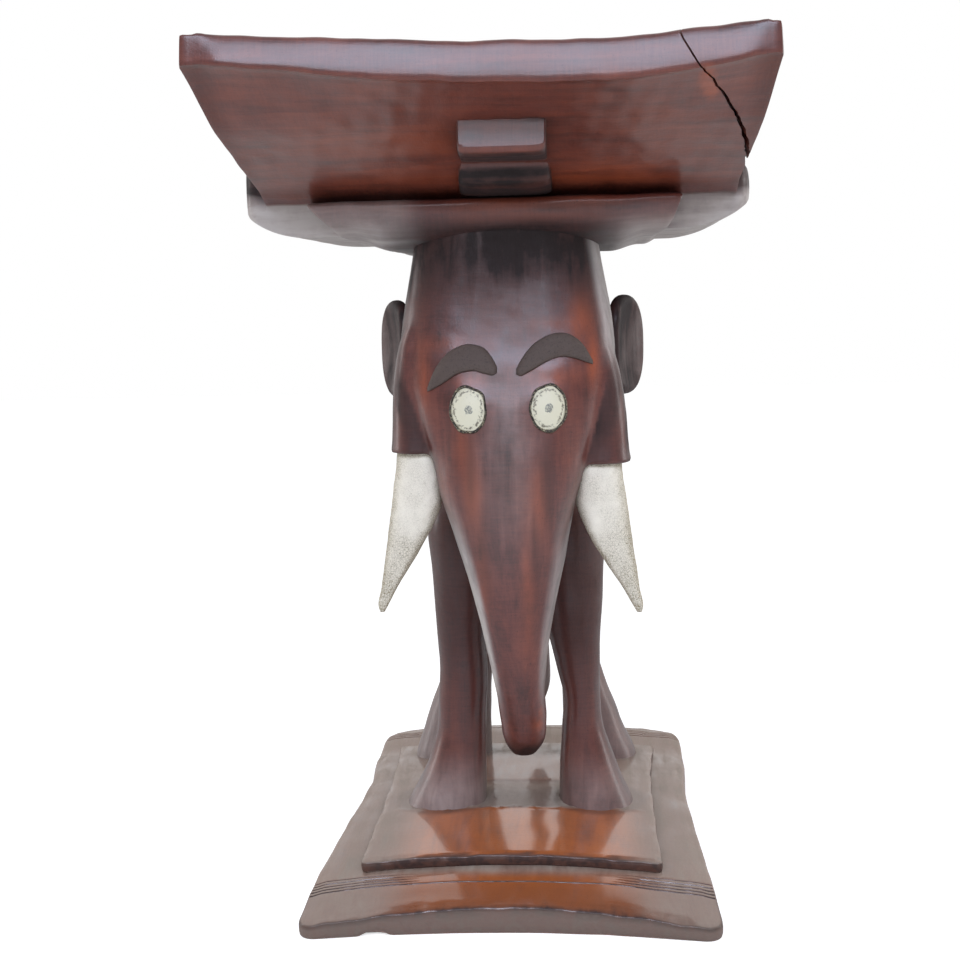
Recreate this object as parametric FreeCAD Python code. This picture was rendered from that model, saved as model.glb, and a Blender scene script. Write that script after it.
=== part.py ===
"""Carved elephant stool: a dished seat carried on the back of a standing elephant.

The origin is the centre of the base's underside, +Z is up, the elephant looks
along -Y and its left side in the front view is -X. All lengths are in mm.
"""
import FreeCAD
import Part
import math
import os
from FreeCAD import Vector

# Fits shared by every joint
clearance = 0.3
overrun = 5.0
curve_points = 16

# Base board: crowned on top, hollow on all four sides in plan
base_width = 300.0
base_length = 424.0
base_crown = 38.0
crown_radius = 1500.0
base_end_hollow = 11.0
base_side_hollow = 5.0
base_corner = 14.0
groove_count = 5
groove_width = 1.3
groove_depth = 1.1
groove_pitch = 4.6
groove_inset = 27.0
rear_groove_count = 4

# Plate on the base board, wider than the feet that stand on it
plate_thickness = 8.5
plate_front = 152.0
plate_back = 138.0
plate_front_margin = 16.0
plate_back_margin = 21.0
plate_hollow = 5.0
plate_corner = 4.0

# Saddle block between the elephant's back and the seat
saddle_length = 270.0
saddle_width = 262.0
saddle_draw_in = 17.0
saddle_socket = 23.0
saddle_thickness = 34.0
saddle_undercut = 42.0
saddle_arris = 5.0
saddle_corner = 11.0

# Seat: a crescent board with flat sloping panels under both ends
seat_length = 580.0
seat_width = 362.0
seat_waist_draw_in = 12.0
seat_waist_margin = 1.0
seat_rise = 84.0
seat_tip_thickness = 21.0
seat_dish_depth = 69.0
seat_cross_dish = 8.0
seat_let_in = 24.0
seat_panel_inset = 20.0
seat_panel_gap = 1.5
seat_tip_hollow = 7.0
seat_rim_nose = 4.0

# Side wings of the seat, beside the saddle block
wing_overhang = 27.0
wing_end_taper = 10.0
wing_length = 214.0
wing_under_round = 46.0
wing_under_rise = 28.0

# Rib with its lug under each end panel
rib_width = 58.0
rib_tip_inset = 59.0
rib_nose_height = 24.0
rib_foot_height = 6.0

# Crack that parts the near right corner of the seat
crack_tip_inset = 60.0
crack_side_inset = 4.4
crack_bow = 9.0
crack_length = 110.0
crack_gap = 1.6

# Elephant: the carving stands a little to the right of the base's middle
carving_shift = 3.0
elephant_height = 460.5
trunk_tip_gap = 56.5
face_half_width = 79.5
face_reach = 158.0
trunk_lean = 9.5

# How square the carved forms' sections are: 2 is an ellipse, higher is boxier
torso_squareness = 2.5
skull_squareness = 2.8
limb_squareness = 2.2
inlay_squareness = 2.2
ear_squareness = 2.7
tail_squareness = 2.0

# Torso
torso_half_width = 82.0
torso_front = 62.0
torso_back = 152.0
belly_gap = 156.5
back_drop = 10.0

# Skull behind the face
skull_front = 114.0
skull_back = 36.0
skull_margin = 2.5
skull_height = 178.0
skull_drop = 7.0

# Legs
foot_overlap = 12.5
hip_rise = 102.0
foot_spread = 95.0
foot_length = 64.0
front_leg_place = 33.0
hind_leg_place = 100.0

# Tusks and the carved sheaths that hold them
tusk_spread = 18.5
tusk_length = 118.0
left_collar_drop = 172.0
right_collar_drop = 182.0
tusk_half_depth = 19.0
tusk_place = 108.0
tusk_forward = 30.0
tusk_tenon_radius = 8.0
tusk_tenon_length = 24.0
sheath_height = 96.0
sheath_half_depth = 25.0

# Ears
ear_length = 52.0
ear_height = 76.0
ear_thickness = 12.0
ear_root = 74.0
ear_let_in = 4.0
ear_drop = 98.0
ear_flare = 24.0

# Eyes and brows, let into the face
eye_shift = 5.5
eye_spacing = 57.0
eye_drop = 138.5
eye_half_width = 13.5
eye_half_height = 17.5
eye_rim_width = 2.2
eye_rim_proud = 1.2
eye_proud = 1.8
eye_pocket = 9.0
pupil_half_width = 3.4
pupil_half_height = 4.2
pupil_proud = 2.4
pupil_depth = 3.0
brow_inner = 8.0
brow_outer = 58.0
brow_peak = 29.0
brow_inner_rise = 24.5
brow_outer_rise = 17.5
brow_peak_rise = 46.5
brow_thickness = 18.0
brow_proud = 1.6
brow_pocket = 7.0
right_brow_lift = 7.0

# Tail
tail_root_drop = 67.0
tail_tip_gap = 29.5
tail_radius = 9.0
tail_place = 12.0
tail_tenon_radius = 6.0
tail_tenon_length = 22.0

# Hidden dowels
foot_dowel_radius = 7.0
foot_dowel_bottom = 14.0
foot_dowel_reach = 49.5
saddle_dowel_radius = 9.0
saddle_dowel_length = 48.0
saddle_dowel_share = 0.5
seat_dowel_radius = 8.0
seat_dowel_length = 30.0
seat_dowel_cover = 7.0
seat_dowel_inset = 34.0
plate_peg_radius = 4.0
plate_peg_bottom = 18.0
plate_peg_cover = 5.0
plate_peg_inset = 24.0
corner_pin_radius = 3.0
corner_pin_length = 44.0
corner_pin_steps_share = (0.22, 0.56)

# Rows from the tip of the trunk up to the head's top, each as
# (height, half-width, front, back, lean, squareness) in shares of the face's sizes
face_shares = (
    (0.00, 0.10, 0.665, 0.555, 0.95, 2.0), (0.022, 0.178, 0.712, 0.523, 1.00, 2.1),
    (0.067, 0.218, 0.757, 0.525, 1.00, 2.2), (0.129, 0.232, 0.807, 0.548, 0.83, 2.3),
    (0.19, 0.272, 0.853, 0.560, 0.72, 2.3), (0.253, 0.325, 0.893, 0.566, 0.66, 2.3),
    (0.327, 0.408, 0.935, 0.566, 0.64, 2.3), (0.389, 0.484, 0.966, 0.560, 0.58, 2.3),
    (0.45, 0.560, 0.990, 0.548, 0.44, 2.3), (0.50, 0.630, 1.000, 0.530, 0.34, 2.4),
    (0.562, 0.710, 0.997, 0.505, 0.46, 2.5), (0.61, 0.785, 0.982, 0.480, 0.42, 2.6),
    (0.66, 0.868, 0.955, 0.450, 0.36, 2.8), (0.70, 0.950, 0.928, 0.420, 0.32, 3.0),
    (0.745, 1.00, 0.898, 0.380, 0.32, 3.2), (0.802, 0.982, 0.862, 0.360, 0.34, 3.3),
    (0.87, 0.925, 0.830, 0.350, 0.36, 3.3), (0.945, 0.858, 0.806, 0.350, 0.36, 3.3),
    (1.00, 0.810, 0.785, 0.360, 0.36, 3.3))

# Rows from chest to rump, each as (place, half-width, bottom, top) in shares
torso_shares = (
    (0.00, 0.62, 0.16, 0.90), (0.06, 0.82, 0.07, 0.96), (0.22, 0.95, 0.02, 1.00),
    (0.48, 1.00, 0.00, 1.00), (0.72, 0.97, 0.02, 1.00), (0.88, 0.87, 0.10, 0.96),
    (0.965, 0.68, 0.24, 0.89), (1.00, 0.40, 0.38, 0.76))

# Rows from front to back, each as (place, half-width, bottom, top) in shares
skull_shares = (
    (0.00, 0.80, 0.16, 0.98), (0.20, 0.97, 0.04, 1.00),
    (0.55, 1.00, 0.00, 1.00), (1.00, 0.98, 0.00, 1.00))

# Rows from the foot up, each as (height, inner, outer) in shares of leg and spread
left_leg_shares = (
    (0.00, 0.29, 1.01), (0.044, 0.295, 0.955), (0.096, 0.295, 0.87), (0.165, 0.29, 0.775),
    (0.261, 0.285, 0.70), (0.34, 0.275, 0.685), (0.427, 0.262, 0.67), (0.523, 0.27, 0.68),
    (0.627, 0.24, 0.695), (0.74, 0.17, 0.715), (0.871, 0.11, 0.74), (1.00, 0.12, 0.68))
right_leg_shares = (
    (0.00, 0.32, 0.975), (0.044, 0.325, 0.935), (0.113, 0.33, 0.85), (0.192, 0.343, 0.767),
    (0.27, 0.36, 0.70), (0.348, 0.375, 0.685), (0.435, 0.322, 0.685), (0.514, 0.27, 0.69),
    (0.636, 0.20, 0.715), (0.74, 0.14, 0.73), (0.871, 0.08, 0.74), (1.00, 0.10, 0.68))
hind_leg_shares = (
    (0.00, 0.335, 1.02), (0.052, 0.34, 0.98), (0.113, 0.34, 0.92), (0.192, 0.335, 0.845),
    (0.261, 0.33, 0.77), (0.34, 0.31, 0.72), (0.427, 0.285, 0.69), (0.54, 0.25, 0.695),
    (0.653, 0.21, 0.735), (0.758, 0.16, 0.78), (0.871, 0.11, 0.81), (1.00, 0.14, 0.72))
# Rows for the same steps, each as (forward, backward) in shares of the foot's length
front_leg_depth_shares = (
    (0.53, 0.47), (0.49, 0.44), (0.42, 0.39), (0.36, 0.33), (0.31, 0.30), (0.30, 0.28),
    (0.30, 0.30), (0.31, 0.34), (0.36, 0.42), (0.42, 0.52), (0.45, 0.64),
    (0.40, 0.66))
hind_leg_depth_shares = (
    (0.47, 0.52), (0.43, 0.47), (0.37, 0.41), (0.32, 0.35), (0.29, 0.32), (0.28, 0.31),
    (0.30, 0.32), (0.36, 0.35), (0.46, 0.41), (0.56, 0.50), (0.64, 0.58),
    (0.66, 0.50))

# Rows from the collar down, each as (down, inner, outer, depth, forward) in shares
tusk_shares = (
    (0.00, 0.50, 0.845, 0.92, 0.00), (0.13, 0.495, 0.86, 1.00, 0.05), (0.29, 0.50, 0.885, 0.97, 0.15),
    (0.46, 0.575, 0.91, 0.82, 0.32), (0.64, 0.69, 0.935, 0.62, 0.55), (0.85, 0.845, 0.965, 0.34, 0.84),
    (0.97, 0.92, 0.985, 0.17, 0.98), (1.00, 0.94, 0.975, 0.08, 1.00))
# Rows from the collar up, each as (up, inner, outer, depth) in shares
sheath_shares = (
    (0.00, 0.46, 0.895, 0.92), (0.10, 0.46, 0.885, 0.90), (0.40, 0.50, 0.90, 0.88),
    (0.72, 0.54, 0.875, 0.80), (1.00, 0.58, 0.80, 0.66))
# Rows from the root down, each as (down, radius, behind) in shares of tail sizes
tail_shares = (
    (0.00, 0.70, 0.00), (0.05, 1.00, 0.55), (0.16, 1.05, 1.15), (0.40, 0.95, 1.45),
    (0.62, 0.85, 0.95), (0.78, 0.85, 0.10), (0.88, 1.15, -0.45), (0.96, 1.05, -0.75), (1.00, 0.45, -0.85))

# Heights above the floor, stacked from the base up
plate_crown = base_crown + plate_thickness
leg_foot = plate_crown - foot_overlap
foot_dowel_top = plate_crown + foot_dowel_reach
tail_tip_height = plate_crown + tail_tip_gap
trunk_tip = plate_crown + trunk_tip_gap
belly_height = plate_crown + belly_gap
hip_height = belly_height + hip_rise
face_top = plate_crown + elephant_height
back_height = face_top - back_drop
tail_root_height = back_height - tail_root_drop
skull_top = face_top - skull_drop
skull_bottom = skull_top - skull_height
left_collar = face_top - left_collar_drop
right_collar = face_top - right_collar_drop
ear_middle = face_top - ear_drop
eye_height = face_top - eye_drop
brow_inner_height = eye_height + brow_inner_rise
brow_outer_height = eye_height + brow_outer_rise
brow_peak_height = eye_height + brow_peak_rise
saddle_bottom = face_top - saddle_socket
saddle_top = saddle_bottom + saddle_thickness
seat_belly_height = saddle_top - seat_let_in
seat_panel_start_height = saddle_top + seat_panel_gap
seat_tip_height = saddle_top + seat_rise
seat_tip_under = seat_tip_height - seat_tip_thickness
seat_middle_height = seat_tip_height - seat_dish_depth
seat_dowel_top = seat_middle_height - seat_dowel_cover

# Widths, reaches and slopes that follow from the sizes above
face_height = face_top - trunk_tip
leg_height = hip_height - leg_foot
half_seat = seat_length / 2
half_saddle = saddle_length / 2
plate_front_width = 2 * (foot_spread + plate_front_margin)
plate_back_width = 2 * (foot_spread + plate_back_margin)
saddle_foot_width = saddle_width - 2 * saddle_draw_in
skull_half_width = face_half_width + skull_margin
ear_root_width = skull_half_width - ear_let_in
tusk_reach = face_half_width + tusk_spread
seat_waist_width = seat_width - 2 * seat_waist_draw_in
seat_waist = half_saddle + seat_waist_margin
seat_panel_start = half_saddle - seat_panel_inset
panel_slope = (seat_tip_under - seat_panel_start_height) / (half_seat - seat_panel_start)
wing_width = seat_waist_width + 2 * wing_overhang
wing_end_width = wing_width - 2 * wing_end_taper
rib_start = half_seat - rib_tip_inset
crack_tip = seat_width / 2 - crack_tip_inset
crack_end = half_seat - crack_length
crack_taper = seat_waist_draw_in * crack_length / (half_seat - seat_waist)
crack_side = seat_width / 2 - crack_taper - crack_side_inset


def between(rows, place, column):
    """Value of one column at a place among rows sorted by their first column."""
    for low, high in zip(rows, rows[1:]):
        if place <= high[0]:
            step = (place - low[0]) / (high[0] - low[0])
            return low[column] + step * (high[column] - low[column])
    return rows[-1][column]


def power(value, exponent):
    """Signed power, which squares up a circle into a superellipse."""
    return math.copysign(abs(value) ** exponent, value)


def rounded_points(half_a, half_b, squareness):
    """Points of a superellipse, evenly spaced in angle."""
    angles = [2 * math.pi * step / curve_points for step in range(curve_points)]
    bend = 2.0 / squareness
    return [(half_a * power(math.cos(a), bend), half_b * power(math.sin(a), bend)) for a in angles]


def closed_curve(points):
    """Smooth closed wire through points."""
    curve = Part.BSplineCurve()
    curve.interpolate(points, PeriodicFlag=True)
    return Part.Wire([curve.toShape()])


def level_section(x, y, z, half_x, half_y, squareness):
    """Closed horizontal section of a carved form."""
    return closed_curve([Vector(x + a, y + b, z) for a, b in rounded_points(half_x, half_y, squareness)])


def upright_section(x, y, z, half_x, half_z, squareness):
    """Closed section of a carved form, square to its length along Y."""
    return closed_curve([Vector(x + a, y, z + b) for a, b in rounded_points(half_x, half_z, squareness)])


def polygon(points):
    """Flat face through corner points."""
    return Part.Face(Part.makePolygon(points + points[:1]))


def arc(start, middle, end):
    """Circular edge through three points."""
    return Part.Arc(start, middle, end).toShape()


def face_of(edges):
    """Flat face inside edges given in order."""
    return Part.Face(Part.Wire(edges))


def upright_dowel(x, y, bottom, top, radius):
    """Round dowel, standing along Z."""
    return Part.makeCylinder(radius, top - bottom, Vector(x, y, bottom))


def joined(shapes):
    """One solid from shapes that run into each other, joined one by one."""
    result = shapes[0]
    for shape in shapes[1:]:
        result = result.fuse(shape)
    return result


def mirrored_y(shape):
    """Copy on the other end of the stool."""
    return shape.mirror(Vector(), Vector(0, 1, 0))


def crown(top):
    """Ball whose cap is the crowned surface at a height."""
    return Part.makeSphere(crown_radius, Vector(0, 0, top - crown_radius))


def crown_height(top, x, y):
    """Height of a crowned surface at a place in plan."""
    return top - (x * x + y * y) / (2 * crown_radius)


def hollow_outline(front, back, front_width, back_width, end_hollow, side_hollow, corner):
    """Four-sided plan whose edges bow inwards between rounded corners."""
    half_f, half_b = front_width / 2, back_width / 2
    middle = (back - front) / 2
    half_m = (half_f + half_b) / 2 - side_hollow
    a = Vector(-half_f + corner, -front, 0)
    b = Vector(half_f - corner, -front, 0)
    c = Vector(half_f, -front + corner, 0)
    d = Vector(half_b, back - corner, 0)
    e = Vector(half_b - corner, back, 0)
    f = Vector(-half_b + corner, back, 0)
    g = Vector(-half_b, back - corner, 0)
    h = Vector(-half_f, -front + corner, 0)
    nip = corner * (1 - math.sqrt(0.5))
    return face_of([
        arc(a, Vector(0, -front + end_hollow, 0), b),
        arc(b, Vector(half_f - nip, -front + nip, 0), c),
        arc(c, Vector(half_m, middle, 0), d),
        arc(d, Vector(half_b - nip, back - nip, 0), e),
        arc(e, Vector(0, back - end_hollow, 0), f),
        arc(f, Vector(-half_b + nip, back - nip, 0), g),
        arc(g, Vector(-half_m, middle, 0), h),
        arc(h, Vector(-half_f + nip, -front + nip, 0), a)])


def groove_strips():
    """Tall strips over the base board where the incised lines run across it."""
    strips = []
    for side, count in ((-1, groove_count), (1, rear_groove_count)):
        for step in range(count):
            y = side * (base_length / 2 - groove_inset - step * groove_pitch)
            corner = Vector(-base_width, y - groove_width / 2, 0)
            strips.append(Part.makeBox(2 * base_width, groove_width, base_crown + overrun, corner))
    return Part.makeCompound(strips)


def foot_places():
    """Middle of each foot in plan, in the order front left, front right, hind left, hind right."""
    places = []
    for side, rows in ((-1, left_leg_shares), (1, right_leg_shares)):
        x = carving_shift + side * foot_spread * (rows[0][1] + rows[0][2]) / 2
        places.append((x, -front_leg_place))
    for side in (-1, 1):
        x = carving_shift + side * foot_spread * (hind_leg_shares[0][1] + hind_leg_shares[0][2]) / 2
        places.append((x, hind_leg_place))
    return places


def dowel_axis(place):
    """Foot dowels stand nearer the leg's own line than the flared foot's middle."""
    inward = foot_dowel_radius * math.copysign(1.0, place[0] - carving_shift)
    return place[0] - inward, place[1]


def foot_dowels(grow=0.0):
    """Four dowels that pin the feet through the plate into the base board."""
    return [upright_dowel(*dowel_axis(place), foot_dowel_bottom - grow, foot_dowel_top + grow,
                          foot_dowel_radius + grow) for place in foot_places()]


def plate_pegs(grow=0.0):
    """Four blind pegs that hold the plate's corners down on the base board."""
    pegs = []
    for y, width in ((-plate_front + plate_peg_inset, plate_front_width),
                     (plate_back - plate_peg_inset, plate_back_width)):
        for side in (-1, 1):
            x = side * (width / 2 - plate_peg_inset)
            top = crown_height(plate_crown, x, y) - plate_peg_cover
            pegs.append(upright_dowel(x, y, plate_peg_bottom - grow, top + grow, plate_peg_radius + grow))
    return pegs


def plate_blank(crown_top):
    """Plate's plan raised to a crowned top."""
    outline = hollow_outline(plate_front, plate_back, plate_front_width, plate_back_width,
                             plate_hollow, plate_hollow, plate_corner)
    return outline.extrude(Vector(0, 0, crown_top)).common(crown(crown_top))


def base_board():
    """Crowned board with incised lines near both ends."""
    outline = hollow_outline(base_length / 2, base_length / 2, base_width, base_width,
                             base_end_hollow, base_side_hollow, base_corner)
    board = outline.extrude(Vector(0, 0, base_crown)).common(crown(base_crown))
    grooves = groove_strips().cut(crown(base_crown - groove_depth))
    return board.cut(grooves).cut(foot_dowels(clearance) + plate_pegs(clearance))


def base_plate():
    """Thin raised plate that follows the board's crown."""
    plate = plate_blank(plate_crown).cut(crown(base_crown + clearance))
    return plate.cut(foot_dowels(clearance) + plate_pegs(clearance))


def seat_under_height(y):
    """Height of the flat panel under the seat's end at a distance from the middle."""
    return seat_panel_start_height + panel_slope * (y - seat_panel_start)


def seat_profile():
    """Side view of the seat, from its belly up over both tips, with the top left high."""
    start = Vector(0, -seat_panel_start, seat_panel_start_height)
    end = Vector(0, seat_panel_start, seat_panel_start_height)
    tip_low = half_seat - seat_rim_nose
    top = seat_tip_height + overrun + seat_cross_dish
    middle = seat_tip_height - seat_tip_thickness / 2

    def rim(side):
        low = Vector(0, side * tip_low, seat_tip_under)
        nose = Vector(0, side * half_seat, middle)
        high = Vector(0, side * tip_low, seat_tip_height + seat_cross_dish)
        return low, nose, high, Vector(0, side * tip_low, top)

    low_f, nose_f, high_f, top_f = rim(-1)
    low_b, nose_b, high_b, top_b = rim(1)
    return face_of([
        arc(start, Vector(0, 0, seat_belly_height), end),
        Part.LineSegment(end, low_b).toShape(), arc(low_b, nose_b, high_b),
        Part.LineSegment(high_b, top_b).toShape(), Part.LineSegment(top_b, top_f).toShape(),
        Part.LineSegment(top_f, high_f).toShape(), arc(high_f, nose_f, low_f),
        Part.LineSegment(low_f, start).toShape()])


def seat_dish():
    """Round tool that leaves the seat's dished top: curved along it and a little across it."""
    rise = seat_tip_height - seat_middle_height
    radius = (half_seat ** 2 + rise ** 2) / (2 * rise)
    axis = seat_middle_height + radius
    half = wing_width / 2 + overrun
    edge = seat_middle_height + seat_cross_dish * (2 * half / seat_width) ** 2
    section = face_of([
        arc(Vector(-half, 0, edge), Vector(0, 0, seat_middle_height), Vector(half, 0, edge)),
        Part.LineSegment(Vector(half, 0, edge), Vector(half, 0, axis)).toShape(),
        Part.LineSegment(Vector(half, 0, axis), Vector(-half, 0, axis)).toShape(),
        Part.LineSegment(Vector(-half, 0, axis), Vector(-half, 0, edge)).toShape()])
    return section.revolve(Vector(0, 0, axis), Vector(1, 0, 0), 360)


def seat_plan():
    """Plan of the seat's board: widest at the tips, drawn in at the saddle, tips hollow."""
    half_w, waist = seat_width / 2, seat_waist_width / 2
    a, b = Vector(-half_w, -half_seat, 0), Vector(half_w, -half_seat, 0)
    c, d = Vector(half_w, half_seat, 0), Vector(-half_w, half_seat, 0)
    return face_of([
        arc(a, Vector(0, -half_seat + seat_tip_hollow, 0), b),
        Part.LineSegment(b, Vector(waist, -seat_waist, 0)).toShape(),
        Part.LineSegment(Vector(waist, -seat_waist, 0), Vector(waist, seat_waist, 0)).toShape(),
        Part.LineSegment(Vector(waist, seat_waist, 0), c).toShape(),
        arc(c, Vector(0, half_seat - seat_tip_hollow, 0), d),
        Part.LineSegment(d, Vector(-waist, seat_waist, 0)).toShape(),
        Part.LineSegment(Vector(-waist, seat_waist, 0), Vector(-waist, -seat_waist, 0)).toShape(),
        Part.LineSegment(Vector(-waist, -seat_waist, 0), a).toShape()])


def wing_plan():
    """Plan of the middle of the seat, whose sides bow out past the board."""
    half_l, half_e, half_m = wing_length / 2, wing_end_width / 2, wing_width / 2
    a, b = Vector(-half_e, -half_l, 0), Vector(half_e, -half_l, 0)
    c, d = Vector(half_e, half_l, 0), Vector(-half_e, half_l, 0)
    return face_of([
        Part.LineSegment(a, b).toShape(), arc(b, Vector(half_m, 0, 0), c),
        Part.LineSegment(c, d).toShape(), arc(d, Vector(-half_m, 0, 0), a)])


def wing_section():
    """End view of the middle of the seat, with its lower sides carved round."""
    half = wing_width / 2 + overrun
    inner = wing_width / 2 - wing_under_round
    side = seat_belly_height + wing_under_rise
    top = seat_tip_height
    nip = math.sqrt(0.5)
    bulge_x = inner + nip * (half - inner)
    bulge_z = side - nip * (side - seat_belly_height + clearance)
    low = seat_belly_height - clearance
    return face_of([
        Part.LineSegment(Vector(-inner, 0, low), Vector(inner, 0, low)).toShape(),
        arc(Vector(inner, 0, low), Vector(bulge_x, 0, bulge_z), Vector(half, 0, side)),
        Part.LineSegment(Vector(half, 0, side), Vector(half, 0, top)).toShape(),
        Part.LineSegment(Vector(half, 0, top), Vector(-half, 0, top)).toShape(),
        Part.LineSegment(Vector(-half, 0, top), Vector(-half, 0, side)).toShape(),
        arc(Vector(-half, 0, side), Vector(-bulge_x, 0, bulge_z), Vector(-inner, 0, low))])


def seat_rib():
    """Rib under the near panel, deepest at its lug and fading towards the saddle."""
    root = half_saddle - saddle_arris
    nose_root = seat_under_height(rib_start)
    face = rib_start - rib_foot_height / 2
    shoulder = rib_start - rib_foot_height
    half = rib_width / 2
    side_view = polygon([
        Vector(-half, -rib_start, nose_root + rib_foot_height),
        Vector(-half, -rib_start, nose_root),
        Vector(-half, -face, nose_root - rib_nose_height + rib_foot_height),
        Vector(-half, -shoulder, nose_root - rib_nose_height),
        Vector(-half, -root, seat_under_height(root) - rib_foot_height),
        Vector(-half, -root, seat_under_height(root) + rib_foot_height)])
    return side_view.extrude(Vector(rib_width, 0, 0))


def seat_body():
    """Whole seat before its sockets and its crack are cut."""
    side_view = seat_profile().extrude(Vector(wing_width + overrun, 0, 0))
    side_view.translate(Vector(-(wing_width + overrun) / 2, 0, 0))
    height = Vector(0, 0, seat_tip_height + seat_length)
    board = seat_plan().extrude(height).common(side_view)
    wings = wing_plan().extrude(height).common(side_view)
    section = wing_section().extrude(Vector(0, seat_length, 0))
    section.translate(Vector(0, -half_seat, 0))
    belly = Part.makeBox(saddle_foot_width, seat_length, seat_tip_height,
                         Vector(-saddle_foot_width / 2, -half_seat, 0))
    wings = wings.common(section.fuse(belly))
    rib = seat_rib()
    return joined([board, wings, rib, mirrored_y(rib)]).cut(seat_dish())


def crack_blade():
    """Thin curved blade that follows the crack through the near right corner."""
    top = seat_tip_height + seat_length
    start = Vector(crack_tip, -half_seat - overrun, 0)
    bend = Vector((crack_tip + crack_side) / 2 + crack_bow, -(half_seat + crack_end) / 2, 0)
    reach = wing_width / 2 + overrun
    end = Vector(crack_side, -crack_end, 0)
    out = Vector(reach, -crack_end + (reach - crack_side), 0)
    gap = Vector(-crack_gap, 0, 0)
    return face_of([
        arc(start, bend, end), Part.LineSegment(end, out).toShape(),
        Part.LineSegment(out, out + gap).toShape(), Part.LineSegment(out + gap, end + gap).toShape(),
        arc(end + gap, bend + gap, start + gap),
        Part.LineSegment(start + gap, start).toShape()]).extrude(Vector(0, 0, top))


def corner_pins(grow=0.0):
    """Two pins across the crack that hold the broken corner."""
    pins = []
    for share in corner_pin_steps_share:
        y = -half_seat + share * (half_seat - crack_end)
        x = crack_tip + share * (crack_side - crack_tip) + crack_bow / 2
        z = (seat_under_height(-y) + seat_top_height(x, y)) / 2
        length = corner_pin_length * (1 - share) + 2 * grow
        pins.append(Part.makeCylinder(corner_pin_radius + grow, length,
                                      Vector(x - length / 2, y, z), Vector(1, 0, 0)))
    return pins


def seat_top_height(x, y):
    """Height of the dished top at a place in plan."""
    rise = seat_tip_height - seat_middle_height
    radius = (half_seat ** 2 + rise ** 2) / (2 * rise)
    across = seat_cross_dish * (2 * x / seat_width) ** 2
    return seat_middle_height + radius - math.sqrt((radius - across) ** 2 - y ** 2)


def seat_dowel_places():
    """Four places in plan where dowels join seat and saddle block."""
    x = saddle_foot_width / 2 - seat_dowel_inset
    y = half_saddle - saddle_undercut - seat_dowel_inset
    return [(sx * x, sy * y) for sx in (-1, 1) for sy in (-1, 1)]


def seat_dowels(grow=0.0):
    """Four dowels between saddle block and seat."""
    bottom = seat_dowel_top - seat_dowel_length
    return [upright_dowel(x, y, bottom - grow, seat_dowel_top + grow, seat_dowel_radius + grow)
            for x, y in seat_dowel_places()]


def seat_pieces():
    """The seat and its broken corner, parted by the crack."""
    body = seat_body()
    body = body.cut(saddle_solid(clearance)).cut(seat_dowels(clearance))
    parts = body.cut(crack_blade()).cut(corner_pins(clearance)).Solids
    parts.sort(key=lambda solid: solid.Volume)
    return parts[-1], parts[-2]


def saddle_solid(grow=0.0):
    """Saddle block: bull-nosed ends, sides drawn in towards the foot."""
    half, flat = half_saddle + grow, half_saddle - saddle_undercut + grow
    low, high = saddle_bottom - grow, saddle_top + grow
    arris = high - saddle_arris
    nose_y = flat + (half - flat) * math.sqrt(0.5)
    nose_z = arris - (arris - low) * math.sqrt(0.5)
    wide = saddle_width + 2 * grow

    def point(y, z):
        return Vector(-wide / 2, y, z)

    side_view = face_of([
        Part.LineSegment(point(-flat, low), point(flat, low)).toShape(),
        arc(point(flat, low), point(nose_y, nose_z), point(half, arris)),
        Part.LineSegment(point(half, arris), point(half - saddle_arris, high)).toShape(),
        Part.LineSegment(point(half - saddle_arris, high), point(-half + saddle_arris, high)).toShape(),
        Part.LineSegment(point(-half + saddle_arris, high), point(-half, arris)).toShape(),
        arc(point(-half, arris), point(-nose_y, nose_z), point(-flat, low))])
    block = side_view.extrude(Vector(wide, 0, 0))
    foot, bend = saddle_foot_width / 2 + grow, low + saddle_corner
    end_view = polygon([
        Vector(-foot + saddle_corner, -half, low), Vector(foot - saddle_corner, -half, low),
        Vector(foot, -half, bend), Vector(wide / 2, -half, high),
        Vector(-wide / 2, -half, high), Vector(-foot, -half, bend)])
    return block.common(end_view.extrude(Vector(0, 2 * half, 0)))


def saddle_dowel_places():
    """Four places in plan where the elephant's back is pinned to the block."""
    x = torso_half_width * saddle_dowel_share
    back = half_saddle - saddle_undercut - 2 * saddle_dowel_radius
    return [(carving_shift + sx * x, y) for sx in (-1, 1) for y in (-torso_front, back)]


def saddle_dowels(grow=0.0):
    """Four dowels from the elephant's back up into the saddle block."""
    top = saddle_top - saddle_arris - saddle_corner
    return [upright_dowel(x, y, top - saddle_dowel_length - grow, top + grow, saddle_dowel_radius + grow)
            for x, y in saddle_dowel_places()]


def saddle_block():
    """Saddle block with its dowel holes."""
    return saddle_solid().cut(saddle_dowels(clearance) + seat_dowels(clearance))


def face_place(z, column):
    """Forward reach of the face's front or back at a height."""
    return face_reach * between(face_shares, (z - trunk_tip) / face_height, column)


def face_solid(grow=0.0):
    """Forehead, face and hanging trunk as one tapering form."""
    sections = []
    for height, half_width, front, back, lean, squareness in face_shares:
        y = -face_reach * (front + back) / 2
        half_depth = face_reach * (front - back) / 2 + grow
        sections.append(level_section(trunk_lean * lean, y, trunk_tip + height * face_height,
                                      face_half_width * half_width + grow, half_depth, squareness))
    return Part.makeLoft(sections, True, False)


def long_form(rows, front, back, half_width, bottom, top, squareness):
    """Carved form along Y from rows of (place, half-width, bottom, top) shares."""
    sections = []
    for place, width, low, high in rows:
        z_low = bottom + low * (top - bottom)
        z_high = bottom + high * (top - bottom)
        sections.append(upright_section(carving_shift, -front + place * (front + back),
                                        (z_low + z_high) / 2, half_width * width,
                                        (z_high - z_low) / 2, squareness))
    return Part.makeLoft(sections, True, False)


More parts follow.
